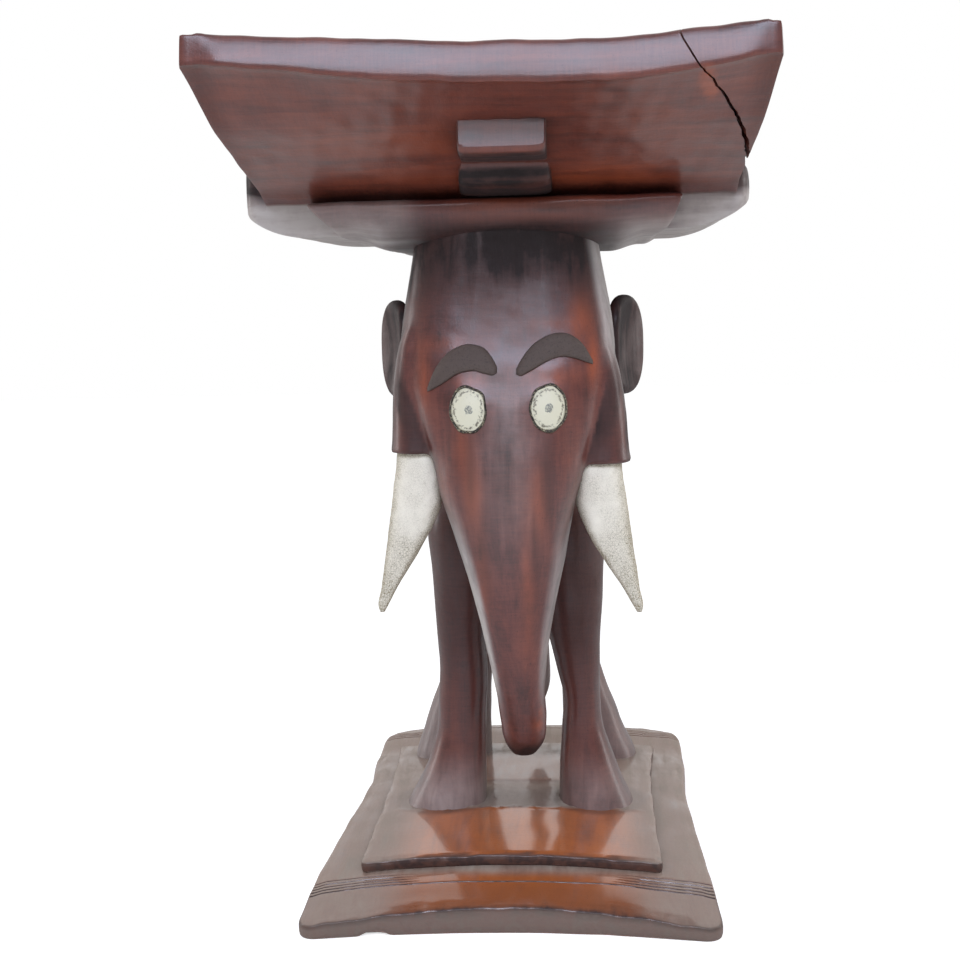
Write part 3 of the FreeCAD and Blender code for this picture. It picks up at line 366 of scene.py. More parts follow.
def fade(value, low, high):
    """0 at low, 1 at high and a smooth step between them."""
    u = np.clip((np.asarray(value, float) - low) / (high - low), 0, 1)
    return u * u * (3 - 2 * u)


def waves(points, size, seed):
    """Smooth unevenness from about -1 to 1: sine waves of about one size in fixed directions."""
    draw = np.random.default_rng(seed)
    count = 12
    ways = draw.normal(size=(count, points.shape[-1]))
    ways /= np.linalg.norm(ways, axis=1, keepdims=True)
    ways *= 2 * np.pi / (size * draw.uniform(0.7, 1.7, (count, 1)))
    phase = draw.uniform(0, 2 * np.pi, count)
    return np.sin(points @ ways.T + phase).sum(-1) / np.sqrt(count * 1.5)


def spots(table, across, height):
    """Sum of soft round spots, each row of the table giving one."""
    total = np.zeros_like(across)
    for x, z, wide, tall, strength in table:
        total += strength * np.exp(-((across - x) / wide) ** 2 - ((height - z) / tall) ** 2)
    return total


def outward(shape):
    """The same closed shape with its faces turned outwards: its signed volume is made positive."""
    points, quads, triangles = shape
    corners = np.concatenate([triangles, quads[:, [0, 1, 2]], quads[:, [0, 2, 3]]])
    a, b, c = (points[corners[:, i]] for i in range(3))
    if np.einsum("ij,ij->i", a, np.cross(b, c)).sum() < 0:
        return points, quads[:, ::-1], triangles[:, ::-1]
    return shape


def tube(rings):
    """Closed shape from an array of rings: quads between them and a point at each end's middle."""
    count, around = rings.shape[:2]
    index = np.arange(count * around).reshape(count, around)
    here, there = index[:-1], index[1:]
    quads = np.stack([here, np.roll(here, -1, 1), np.roll(there, -1, 1), there], -1).reshape(-1, 4)
    first, last = index[0], index[-1]
    low = np.full(around, count * around)
    caps = [np.stack([low, np.roll(first, -1), first], -1),
            np.stack([low + 1, last, np.roll(last, -1)], -1)]
    points = np.concatenate([rings.reshape(-1, 3), rings[0].mean(0)[None], rings[-1].mean(0)[None]])
    return outward((points, quads, np.concatenate(caps)))


def hoop(rings):
    """Closed shape from rings that follow each other round a loop."""
    count, around = rings.shape[:2]
    index = np.arange(count * around).reshape(count, around)
    there = np.roll(index, -1, 0)
    quads = np.stack([index, np.roll(index, -1, 1), np.roll(there, -1, 1), there], -1).reshape(-1, 4)
    return outward((rings.reshape(-1, 3), quads, np.zeros((0, 3), int)))


def slab(x, y, top, bottom, profile, spread=1.0):
    """Closed board from heights over a grid in plan. Its side runs from the top's border to the
    bottom's through rings at a share of the height, each pushed out square to the border and
    scaled by the spread there."""
    index = np.arange(x.size).reshape(x.shape)
    upper = np.stack([x, y, top], -1).reshape(-1, 3)
    lower = np.stack([x, y, bottom], -1).reshape(-1, 3)
    border = np.concatenate([index[0, :-1], index[:-1, -1], index[-1, :0:-1], index[:0:-1, 0]])
    high, low = upper[border], lower[border]
    way = np.roll(high, -1, 0) - np.roll(high, 1, 0)
    way /= np.maximum(np.hypot(way[:, 0], way[:, 1]), 1e-9)[:, None]
    out, share_up = np.array(profile, float).T[..., None]
    out = out * np.broadcast_to(spread, x.shape).ravel()[border]
    side = np.stack([high[:, 0] + out * way[:, 1], high[:, 1] - out * way[:, 0],
                     low[:, 2] + share_up * (high[:, 2] - low[:, 2])], -1)
    points = np.concatenate([upper, lower, side.reshape(-1, 3)])
    rings = 2 * x.size + np.arange(len(profile) * len(border)).reshape(len(profile), -1)
    rings = np.concatenate([border[None], rings, border[None] + x.size])
    here, there = rings[:-1], rings[1:]
    sides = np.stack([here, there, np.roll(there, -1, 1), np.roll(here, -1, 1)], -1).reshape(-1, 4)
    a, b, c, d = index[:-1, :-1], index[:-1, 1:], index[1:, 1:], index[1:, :-1]
    flat = np.stack([a, b, c, d], -1).reshape(-1, 4)
    return outward((points, np.concatenate([flat, flat[:, ::-1] + x.size, sides]), np.zeros((0, 3), int)))


def bulge(nose, rings=7):
    """Side profile for a slab: out by the root of the cosine of an angle, up by its sine."""
    angle = np.linspace(np.pi / 2, -np.pi / 2, rings + 2)[1:-1]
    return np.stack([nose * np.cos(angle) ** 0.6, (1 + np.sin(angle)) / 2], -1)


def facet(nose):
    """Side profile for a slab: a rounded arris, a soft facet that leans out and a round lower edge."""
    return [(nose * out, up) for out, up in facet_shares]


def edge_shadow(place, size):
    """Painted shade on the base board along the foot of its plate."""
    x, y, z = place.T
    middle = (size["plate_back"] - size["plate_front"]) / 2
    out = np.maximum(np.abs(x) - size["plate_front_width"] / 2,
                     np.abs(y - middle) - (size["plate_front"] + size["plate_back"]) / 2 + 3)
    return fade(out, 7, 0) * fade(z, 1, 6)


def foot_shadow(x, y):
    """Painted shade on the plate round the four feet."""
    dark = np.zeros_like(x)
    for place_x, place_y, half_x, half_y in foot_places:
        out = np.hypot((x - place_x) / half_x, (y - place_y) / half_y)
        dark = np.maximum(dark, 0.6 * fade(out, 1.25, 0.98))
    return dark


def together(shapes):
    """Several shapes as one."""
    points, quads, triangles, start = [], [], [], 0
    for shape in shapes:
        points.append(shape[0])
        quads.append(shape[1] + start)
        triangles.append(shape[2] + start)
        start += len(shape[0])
    return np.concatenate(points), np.concatenate(quads), np.concatenate(triangles)


def rounded_ring(half_a, half_b, squareness, around):
    """Superellipse: the cosine and sine of even angles, each to the power of 2 over the squareness."""
    angle = np.linspace(0, 2 * np.pi, around, endpoint=False)
    bend = 2.0 / np.asarray(squareness, float)[..., None]
    a, b = np.cos(angle), np.sin(angle)
    return (np.asarray(half_a)[..., None] * np.sign(a) * np.abs(a) ** bend,
            np.asarray(half_b)[..., None] * np.sign(b) * np.abs(b) ** bend)


def level_tube(x, y, z, half_x, half_y, squareness, around=112):
    """Rings of superellipses stacked along Z."""
    a, b = rounded_ring(half_x, half_y, np.broadcast_to(squareness, np.shape(z)), around)
    return np.stack([x[:, None] + a, y[:, None] + b, np.broadcast_to(z[:, None], a.shape)], -1)


def upright_tube(x, y, z, half_x, half_z, squareness, around=112):
    """Rings of superellipses carried along Y."""
    a, b = rounded_ring(half_x, half_z, np.full(np.shape(y), squareness), around)
    return np.stack([x + a, np.broadcast_to(y[:, None], a.shape), z[:, None] + b], -1)


def rounded_corner(x, y, half_x, half_y, corner):
    """Plan with its square corners drawn in to round ones, each corner square shrunk to a quarter disc."""
    a, b = np.abs(x) - half_x + corner, np.abs(y) - half_y + corner
    inside = (a > 0) & (b > 0)
    scale = np.where(inside, np.maximum(a, b) / np.maximum(np.hypot(a, b), 1e-9), 1.0)
    near_x, near_y = np.where(inside, half_x - corner, 0.0), np.where(inside, half_y - corner, 0.0)
    return (np.where(inside, np.sign(x) * (near_x + a * scale), x),
            np.where(inside, np.sign(y) * (near_y + b * scale), y))


def new_object(name, shape):
    """Mesh object from a shape in millimetres."""
    points, quads, triangles = shape
    mesh = bpy.data.meshes.new(name)
    mesh.from_pydata((points * MM).tolist(), [], quads.tolist() + triangles.tolist())
    mesh.validate()
    made = bpy.data.objects.new(name, mesh)
    bpy.context.scene.collection.objects.link(made)
    return made


def with_modifiers(made):
    """The object with its modifiers worked into its mesh."""
    graph = bpy.context.evaluated_depsgraph_get()
    mesh = bpy.data.meshes.new_from_object(made.evaluated_get(graph))
    made.modifiers.clear()
    made.data = mesh
    return made


def points_of(made):
    """Vertices of an object in millimetres."""
    flat = np.zeros(len(made.data.vertices) * 3, np.float32)
    made.data.vertices.foreach_get("co", flat)
    return flat.reshape(-1, 3).astype(float) / MM


def move_points(made, points):
    """Give an object's vertices new places in millimetres."""
    made.data.vertices.foreach_set("co", (points * MM).astype(np.float32).ravel())
    made.data.update()


def normals_of(made):
    """Vertex normals of an object."""
    flat = np.zeros(len(made.data.vertices) * 3, np.float32)
    made.data.vertices.foreach_get("normal", flat)
    return flat.reshape(-1, 3).astype(float)


def paint(made, **masks):
    """Store masks from 0 to 1 on the vertices, for the materials to read. The sums that make them hold weights
    and, inside each fade, the places in millimetres where each mark starts and is full; the marks are wear,
    dirt, painted shade and painted light."""
    for name, values in masks.items():
        layer = made.data.attributes.new(name, "FLOAT", "POINT")
        layer.data.foreach_set("value", np.clip(values, 0, 1).astype(np.float32))


def dress(made, material, slot, *nodes):
    """Finish a piece: smooth shading, material, body, and the CAD nodes that it stands for, which it hides.
    The slot is not used.
    """
    made.data.polygons.foreach_set("use_smooth", np.ones(len(made.data.polygons), bool))
    made.data.materials.clear()
    made.data.materials.append(material)
    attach(made, "root")
    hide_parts(*nodes)


def boolean(made, tool, operation):
    """Cut or keep one closed shape with another, exactly."""
    change = made.modifiers.new("cut", "BOOLEAN")
    change.operation = operation
    change.solver = "EXACT"
    change.object = tool
    return with_modifiers(made)


def add(tree, kind, inputs=None, stops=None, **settings):
    """Add a node with its settings, its input values or links, and a ramp's stops."""
    made = tree.nodes.new(kind)
    for key, value in settings.items():
        setattr(made, key, value)
    for key, value in (inputs or {}).items():
        if isinstance(value, bpy.types.NodeSocket):
            tree.links.new(value, made.inputs[key])
        else:
            made.inputs[key].default_value = value
    for i, (place, shade) in enumerate(stops or ()):
        stop = made.color_ramp.elements[i] if i < 2 else made.color_ramp.elements.new(place)
        stop.position, stop.color = place, shade
    return made


def new_material(name):
    """Empty node material with its output."""
    material = bpy.data.materials.new(name)
    material.use_nodes = True
    material.node_tree.nodes.clear()
    return material, material.node_tree


def waxed_hardwood(name, deep, body, warm, bare, dust, grain, score, roughness, coat, gloss):
    """Hand-carved hardwood under old wax: red-brown fibres in streaks along the grain, dark where soot and
    painted shade lie, orange where hands have rubbed it through, pale and dull where dust and painted light
    lie."""
    material, tree = new_material(name)
    place = add(tree, "ShaderNodeTexCoord").outputs["Object"]
    along = add(tree, "ShaderNodeMapping", {"Vector": place, "Scale": grain}).outputs[0]
    scored = add(tree, "ShaderNodeMapping", {"Vector": place, "Scale": score}).outputs[0]
    # Each pattern as (where it is read, its size in mm, detail, roughness, distortion), drawn a little
    # coarser than real pores and fibres, which are too fine to show
    patterns = {"fibre": (along, 1.3, 4.0, 0.62, 0.0), "cut": (scored, 1.7, 3.0, 0.7, 0.0),
                "streak": (along, 8.0, 3.0, 0.5, 0.5), "mottle": (place, 36.0, 5.0, 0.62, 0.0),
                "dent": (place, 7.0, 2.5, 0.5, 0.0), "pore": (place, 1.0, 2.0, 0.5, 0.0)}
    fibre, cut, streak, mottle, dent, pore = (
        add(tree, "ShaderNodeTexNoise", {"Vector": where, "Scale": 1 / (size_mm * MM), "Detail": detail,
                                         "Roughness": rough, "Distortion": warp}).outputs[0]
        for where, size_mm, detail, rough, warp in patterns.values())
    tone = mottle
    for part, weight in ((fibre, 0.45), (streak, 1.1), (cut, 0.6)):
        tone = add(tree, "ShaderNodeMath", {0: part, 1: weight, 2: tone}, operation="MULTIPLY_ADD").outputs[0]
    tone = add(tree, "ShaderNodeMapRange", {"Value": tone, "From Min": 1.02, "From Max": 2.14}).outputs[0]
    shade = add(tree, "ShaderNodeValToRGB", {"Fac": tone},
                stops=((0.0, deep), (1.0, warm), (0.5, body))).outputs[0]
    ragged = add(tree, "ShaderNodeMath", {0: streak, 1: mottle}, operation="ADD").outputs[0]
    ragged = add(tree, "ShaderNodeMapRange", {"Value": ragged, "From Min": 0.65, "From Max": 1.35,
                                              "To Min": 0.45, "To Max": 1.35}).outputs[0]
    masks = {}
    for mask in ("rub", "soot", "dust"):
        worn = add(tree, "ShaderNodeAttribute", attribute_name=mask).outputs["Fac"]
        masks[mask] = add(tree, "ShaderNodeMath", {0: worn, 1: ragged}, operation="MULTIPLY",
                          use_clamp=True).outputs[0]
    shade = add(tree, "ShaderNodeMix", {0: masks["rub"], 6: shade, 7: bare}, data_type="RGBA").outputs[2]
    # Soot and painted shade both darken the wood to this colour
    sooty = (0.45 * deep[0], 0.38 * deep[1], 0.40 * deep[2], 1.0)
    shade = add(tree, "ShaderNodeMix", {0: masks["soot"], 6: shade, 7: sooty}, data_type="RGBA").outputs[2]
    pits = add(tree, "ShaderNodeMapRange", {"Value": pore, "From Min": 0.27, "From Max": 0.36,
                                            "To Min": 0.55, "To Max": 0.0}).outputs[0]
    shade = add(tree, "ShaderNodeMix", {0: pits, 6: shade, 7: sooty}, data_type="RGBA").outputs[2]
    # Dust, and painted light on undersides, between the eyes and on the feet, pale the wood to this colour
    shade = add(tree, "ShaderNodeMix", {0: masks["dust"], 6: shade, 7: dust}, data_type="RGBA").outputs[2]
    dull = roughness - 0.15
    for part, weight in ((mottle, 0.30), (masks["dust"], 0.34), (masks["soot"], 0.30), (fibre, 0.12)):
        dull = add(tree, "ShaderNodeMath", {0: part, 1: weight, 2: dull}, operation="MULTIPLY_ADD").outputs[0]
    uneven = add(tree, "ShaderNodeBump", {"Height": dent, "Distance": 1.3 * gloss * MM}).outputs[0]
    for part, deep_mm in ((cut, 0.09), (fibre, 0.10), (pore, 0.06)):
        uneven = add(tree, "ShaderNodeBump", {"Height": part, "Distance": deep_mm * MM,
                                              "Normal": uneven}).outputs[0]
    # The wax coat is thinned where the dust-and-sheen or soot-and-shade masks lie
    covered = add(tree, "ShaderNodeMath", {0: masks["dust"], 1: masks["soot"]},
                  operation="MAXIMUM").outputs[0]
    wax = add(tree, "ShaderNodeMath", {0: covered, 1: -0.92 * coat, 2: coat},
              operation="MULTIPLY_ADD").outputs[0]
    wood = add(tree, "ShaderNodeBsdfPrincipled", {"Base Color": shade, "Roughness": dull, "Normal": uneven,
                                                  "IOR": 1.5, "Coat Weight": wax, "Coat Roughness": gloss,
                                                  "Coat IOR": 1.0 + 0.9 * coat})
    add(tree, "ShaderNodeOutputMaterial", {"Surface": wood.outputs[0]})
    return material


def chalky_paint(name, paint_colour, dirt):
    """Old white limewash on the tusks: chalk-dull, crackled like dry mud, dirty along its edges."""
    material, tree = new_material(name)
    place = add(tree, "ShaderNodeTexCoord").outputs["Object"]
    crackle_mm, speck_mm, stain_mm = 1.7, 0.9, 20.0
    speck = add(tree, "ShaderNodeTexNoise", {"Vector": place, "Scale": 1 / (speck_mm * MM),
                                             "Detail": 4.0, "Roughness": 0.65}).outputs[0]
    stain = add(tree, "ShaderNodeTexNoise", {"Vector": place, "Scale": 1 / (stain_mm * MM),
                                             "Detail": 4.0}).outputs[0]
    crack = add(tree, "ShaderNodeTexVoronoi", {"Vector": place, "Scale": 1 / (crackle_mm * MM)},
                feature="DISTANCE_TO_EDGE").outputs["Distance"]
    line = add(tree, "ShaderNodeMapRange", {"Value": crack, "From Min": 0.0, "From Max": 0.11,
                                            "To Min": 0.62, "To Max": 0.0}).outputs[0]
    worn = add(tree, "ShaderNodeAttribute", attribute_name="dirt").outputs["Fac"]
    grime = add(tree, "ShaderNodeMath", {0: worn, 1: 0.85, 2: stain}, operation="MULTIPLY_ADD").outputs[0]
    grime = add(tree, "ShaderNodeMapRange", {"Value": grime, "From Min": 0.36, "From Max": 1.10}).outputs[0]
    line = add(tree, "ShaderNodeMath", {0: line, 1: grime, 2: 0.0}, operation="MULTIPLY_ADD").outputs[0]
    fleck = add(tree, "ShaderNodeMapRange", {"Value": speck, "From Min": 0.34, "From Max": 0.46,
                                             "To Min": 0.85, "To Max": 0.0}).outputs[0]
    fleck = add(tree, "ShaderNodeMath", {0: fleck, 1: grime}, operation="MULTIPLY").outputs[0]
    haze = add(tree, "ShaderNodeMath", {0: grime, 1: 0.35, 2: line}, operation="MULTIPLY_ADD").outputs[0]
    haze = add(tree, "ShaderNodeMath", {0: haze, 1: fleck}, operation="ADD", use_clamp=True).outputs[0]
    shade = add(tree, "ShaderNodeMix", {0: haze, 6: paint_colour, 7: dirt}, data_type="RGBA").outputs[2]
    uneven = add(tree, "ShaderNodeBump", {"Height": crack, "Distance": 0.20 * MM}).outputs[0]
    uneven = add(tree, "ShaderNodeBump", {"Height": speck, "Distance": 0.22 * MM,
                                          "Normal": uneven}).outputs[0]
    coat = add(tree, "ShaderNodeBsdfPrincipled", {"Base Color": shade, "Roughness": 0.78, "Normal": uneven})
    add(tree, "ShaderNodeOutputMaterial", {"Surface": coat.outputs[0]})
    return material


def flecked_paint(name, ground, flecks, fleck_mm, cover, roughness):
    """Brushed enamel or pitch with flecks of a second colour showing through its worn places."""
    material, tree = new_material(name)
    place = add(tree, "ShaderNodeTexCoord").outputs["Object"]
    patch = add(tree, "ShaderNodeTexNoise", {"Vector": place, "Scale": 1 / (fleck_mm * MM),
                                             "Detail": 4.0, "Roughness": 0.7, "Distortion": 0.6}).outputs[0]
    worn = add(tree, "ShaderNodeAttribute", attribute_name="dirt").outputs["Fac"]
    seen = add(tree, "ShaderNodeMath", {0: worn, 1: 0.36, 2: patch}, operation="MULTIPLY_ADD").outputs[0]
    seen = add(tree, "ShaderNodeMapRange", {"Value": seen, "From Min": 1.0 - cover - 0.07,
                                            "From Max": 1.0 - cover + 0.07}).outputs[0]
    shade = add(tree, "ShaderNodeMix", {0: seen, 6: ground, 7: flecks}, data_type="RGBA").outputs[2]
    uneven = add(tree, "ShaderNodeBump", {"Height": patch, "Distance": 0.25 * MM}).outputs[0]
    coat = add(tree, "ShaderNodeBsdfPrincipled", {"Base Color": shade, "Roughness": roughness,
                                                  "Normal": uneven})
    add(tree, "ShaderNodeOutputMaterial", {"Surface": coat.outputs[0]})
    return material


def finishes():
    """All materials, made once from the colours of the panel."""
    if "waxed_hardwood" in bpy.data.materials:
        return bpy.data.materials
    hue = bpy.context.scene.stool_colours
    upright, across, endways = (1.0, 1.0, 0.07), (0.10, 1.0, 1.0), (1.0, 0.10, 1.0)
    wood = (hue.wood_deep, hue.wood_body, hue.wood_warm, hue.wood_bare, hue.dust)
    base = (hue.base_deep, hue.base_body, hue.base_warm, hue.base_bare, hue.base_dust)
    wood, base = ([tuple(shade) for shade in group] for group in (wood, base))
    waxed_hardwood("waxed_hardwood", *wood, upright, (0.10, 0.3, 1.0), 0.36, 0.6, 0.22)
    waxed_hardwood("waxed_seat_hardwood", *wood, across, (1.0, 0.10, 0.10), 0.36, 0.6, 0.22)
    waxed_hardwood("polished_base_wood", *base, endways, (0.10, 1.0, 1.0), 0.34, 1.0, 0.11)
    chalky_paint("chalky_tusk_paint", tuple(hue.tusk), tuple(hue.tusk_dirt))
    flecked_paint("cream_eye_enamel", tuple(hue.eye), tuple(hue.smudge), 2.0, 0.30, 0.45)
    flecked_paint("black_eye_pitch", tuple(hue.pitch), tuple(hue.gilt), 1.6, 0.42, 0.55)
    flecked_paint("rubbed_pupil_paint", tuple(hue.pupil), tuple(hue.eye), 1.5, 0.45, 0.5)
    flecked_paint("scorched_brow_wood", tuple(hue.brow), tuple(hue.brow_dry), 1.2, 0.50, 0.7)
    flecked_paint("plain_dowel_wood", tuple(hue.dowel), tuple(hue.base_body), 1.8, 0.40, 0.6)
    return bpy.data.materials


def base_board(size):
    """Carved board: crowned, with hollow sides, worn edges and incised lines near its ends."""
    half_x, half_y = size["width"] / 2, size["depth"] / 2
    rows = [np.linspace(-1, 1, 121)]
    lines, groove = [], 0.0
    # Five lines near the front end and four near the back end
    for side, count, inset in ((-1, 5, size["groove_inset"]), (1, 4, size["back_inset"])):
        for step in range(count):
            line = side * (half_y - inset - step * size["groove_pitch"])
            lines.append((line, step))
            rows.append((line + size["groove_width"] * np.linspace(-0.7, 0.7, 7)) / half_y)
    rows = np.unique(np.round(np.concatenate(rows), 5))
    s, t = np.meshgrid(np.linspace(-1, 1, 131), rows)
    x, y = rounded_corner(s * half_x, t * half_y, half_x, half_y,
                          np.where(t < 0, size["corner"], size["back_corner"]))
    plan = np.stack([x, y], -1)
    # The sides and the front bow in by their hollow, and the lines bow with the front
    hollow_x = 1 - size["side_hollow"] / half_x * (1 - (y / half_y) ** 2)
    hollow_y = 1 - size["end_hollow"] / half_y * (1 - (x / half_x) ** 2) * np.clip(-t, 0, 1) ** 3
    wobble = size["wear"] * waves(plan, 70.0, 3) / half_x
    # Shares by which the left and the right side taper to the back
    left_taper, right_taper = 0.088, 0.050
    taper = np.where(x < 0, left_taper, right_taper) * fade(y, -90, 250)
    x, y = x * (hollow_x + 0.3 * wobble - taper), y * (hollow_y + 0.4 * wobble)
    # The sides draw in further at the middle, the left one more
    x = x + size["left_waist"] * fade(y, -260, 10) * fade(-y, -140, -35) * np.clip(-s, 0, 1)
    x = x - size["right_waist"] * fade(y, -260, 0) * fade(-y, -120, -5) * np.clip(s, 0, 1)
    y = y + size["back_reach"] * fade(y, 120, 210)
    top = size["back_rise"] * fade(y, 140, 205) - size["front_drop"] * fade(-y, 140, 215)
    top += size["crown"] - (x * x + y * y) / (2 * size["crown_radius"]) + 0.35 * waves(plan, 60.0, 5)
    for line, step in lines:
        worn = fade(np.abs(x - 4), 62 + 3 * step, 84 + 3 * step) if step else 1.0
        near = np.clip(1 - np.abs(t * half_y - line) / (0.6 * size["groove_width"]), 0, 1)
        top -= size["groove_depth"] * (0.35 + 0.65 * worn) * worn * near
        groove = groove + worn * near
    edge = fade(np.maximum(np.abs(s), np.abs(t) * half_y / half_x - half_y / half_x + 1), 0.93, 1.0)
    top -= edge * size["wear"] * (1.4 + 0.7 * waves(plan, 42.0, 7) + 0.25 * waves(plan, 17.0, 8))
    bottom = np.zeros_like(top)
    # Nicks in the front's lower edge, each as (across, width, rise)
    for place, wide, rise in ((-95.0, 9.0, 3.2), (-17.0, 4.0, 1.8), (60.0, 14.0, 0.8)):
        bottom += rise * np.exp(-((x - place) / wide) ** 4) * fade(-y, half_y - 14, half_y - 10)
    # Rounded side, each as (out, share of the height)
    profile = ((0.9, 0.95), (1.6, 0.86), (1.9, 0.6), (1.8, 0.3), (1.3, 0.1), (0.6, 0.03))
    board = new_object("base_board_carved", slab(x, y, top, bottom, profile))
    place = points_of(board)
    x, y = place[:, :2].T
    side_face = fade(np.abs(normals_of(board)[:, 2]), 0.75, 0.5)
    # The polished strip before the plate, and the lines, whose vertices come first
    strip = fade(np.abs(x - 6), 118, 60) * fade(y, -150, -165) * (1 - side_face)
    incised = np.zeros(len(x))
    incised[:groove.size] = groove.ravel()
    end_face = side_face * fade(-y, 150, 190)
    arris = np.exp(-((normals_of(board)[:, 2] - 0.66) / 0.32) ** 2) * fade(-y, 150, 185)
    paint(board, dust=0.80 - 0.72 * strip - 0.22 * side_face - 0.20 * end_face - incised - 0.5 * arris,
          rub=0.75 * strip,
          soot=0.80 * end_face + 1.1 * arris + 0.45 * edge_shadow(place, size) + 1.3 * incised)
    dress(board, finishes()["polished_base_wood"], "base_wood", "base_board")


def base_plate(size):
    """Carved plate: thin and crowned like the board, with a low lip and a rough patch."""
    front, back = size["plate_front"], size["plate_back"]
    s, t = np.meshgrid(np.linspace(-1, 1, 121), np.linspace(-1, 1, 151))
    half_l = (front + back) / 2
    across = (size["plate_front_width"] * (1 - t) + size["plate_back_width"] * (1 + t)) / 4
    # Rounded on a plan of one width, which is then given the plate's width at each place
    one_width, corner, hollow, front_half = 100.0, 4.0, 5.0, 111.0
    x, y = rounded_corner(s * one_width, t * half_l, one_width, half_l, corner)
    x = x / one_width * (across - hollow * (1 - (y / half_l) ** 2))
    y = y * (1 - hollow / half_l * (1 - (x / front_half) ** 2)) + (back - front) / 2
    plan = np.stack([x, y], -1)
    x = x + 0.6 * waves(plan, 45.0, 11) * np.abs(s) ** 3
    y = y + 0.6 * waves(plan, 40.0, 12) * np.abs(t) ** 3
    sag = (x * x + y * y) / (2 * size["crown_radius"])
    top = size["crown"] + size["plate_thickness"] - sag + 0.12 * waves(plan, 50.0, 13)
    top -= fade(np.maximum(np.abs(s), np.abs(t)), 0.965, 1.0) * (1.1 + 0.6 * waves(plan, 20.0, 14))
    # A low ragged lip across the plate, and a chiselled patch behind it between the front feet
    lip_place, lip_rise, lip_half = -60.5, 0.9, 1.8
    lip = lip_place + 1.6 * waves(plan[..., :1], 30.0, 15) + 0.8 * waves(plan[..., :1], 9.0, 16)
    ends = fade(x, -100, -88) * fade(-x, -104, -92)
    top += lip_rise * ends * np.exp(-((y - lip) / lip_half) ** 2) * (1 + 0.4 * waves(plan, 12.0, 17))
    patch = fade(x, -31, -27) * fade(-x, -36, -32) * fade(y, -62, -58) * fade(-y, -8, -3)
    top += patch * (-0.35 + 0.05 * waves(plan, 6.0, 18))
    clearance = 0.05
    bottom = size["crown"] + clearance - sag
    profile = ((0.5, 0.85), (0.7, 0.6), (0.5, 0.3), (0.2, 0.1))
    plate = new_object("base_plate_carved", slab(x, y, top, bottom, profile))
    x, y = points_of(plate)[:, :2].T
    polished = fade(np.abs(x - 6), 105, 66) * fade(y, -58, -64)
    between = fade(np.abs(x - 4), 44, 34) * fade(y, -10, 4) * fade(-y, -95, -75)
    rough = fade(x, -31, -27) * fade(-x, -36, -32) * fade(y, -64, -60) * fade(-y, -8, -3)
    side_face = fade(np.abs(normals_of(plate)[:, 2]), 0.75, 0.5)
    arris = fade(normals_of(plate)[:, 2], 0.975, 0.90) * fade(-y, front - 12, front - 9)
    paint(plate, dust=0.82 - 0.78 * polished - 0.45 * between - 0.1 * rough - 0.75 * side_face,
          rub=0.7 * polished * (1 - side_face) * (1 - arris),
          soot=0.55 * rough + 1.25 * side_face + 0.9 * arris + foot_shadow(x, y))
    dress(plate, finishes()["polished_base_wood"], "base_wood", "base_plate")


class STOOL_OT_base(bpy.types.Operator):
    """Base board with its incised lines, and the raised plate under the feet"""
    bl_idname = "stool.base"
    bl_label = "Base board and plate"

    def execute(self, context):
        size = mm(context.scene.stool_base)
        base_board(size)
        base_plate(size)
        return {"FINISHED"}


def face_form(size, z):
    """Half-width, front, back, lean and squareness of the face at heights, from its table."""
    up = (z - size["trunk_tip"]) / (size["face_top"] - size["trunk_tip"])
    _, half, front, back, lean, square = smooth(face_shares, up)
    reach = size["face_reach"]
    return half * size["face_half_width"], front * reach, back * reach, lean * size["lean"], square


def relief(x, z):
    """How far the carved relief stands forward: soft round rises and hollows, alike on both sides."""
    rise = np.zeros_like(x)
    for side in (-1, 1):
        rise += spots([(EYES_MIDDLE + side * row[0],) + row[1:] for row in relief_places], x, z)
    return rise


def face_front(size, x, z):
    """Y of the face's front at places: the front half of a superellipse at each height, less the relief."""
    half, front, back, lean, square = face_form(size, z)
    u = np.clip(np.abs(x - lean) / half, 0, 0.995)
    depth = (front - back) / 2 * (1 - u ** square) ** (1 / square)
    return -(front + back) / 2 - depth - relief(x, z)


def saddle_under(size, y):
    """Height of the saddle block's underside: flat, then a quarter ellipse up its bull nose."""
    flat = size["saddle_length"] / 2 - size["saddle_undercut"]
    u = np.clip((np.abs(y) - flat) / size["saddle_undercut"], 0, 1)
    arris = size["saddle_top"] - SADDLE_ARRIS
    return arris - (arris - size["saddle_bottom"]) * np.sqrt(1 - u * u)


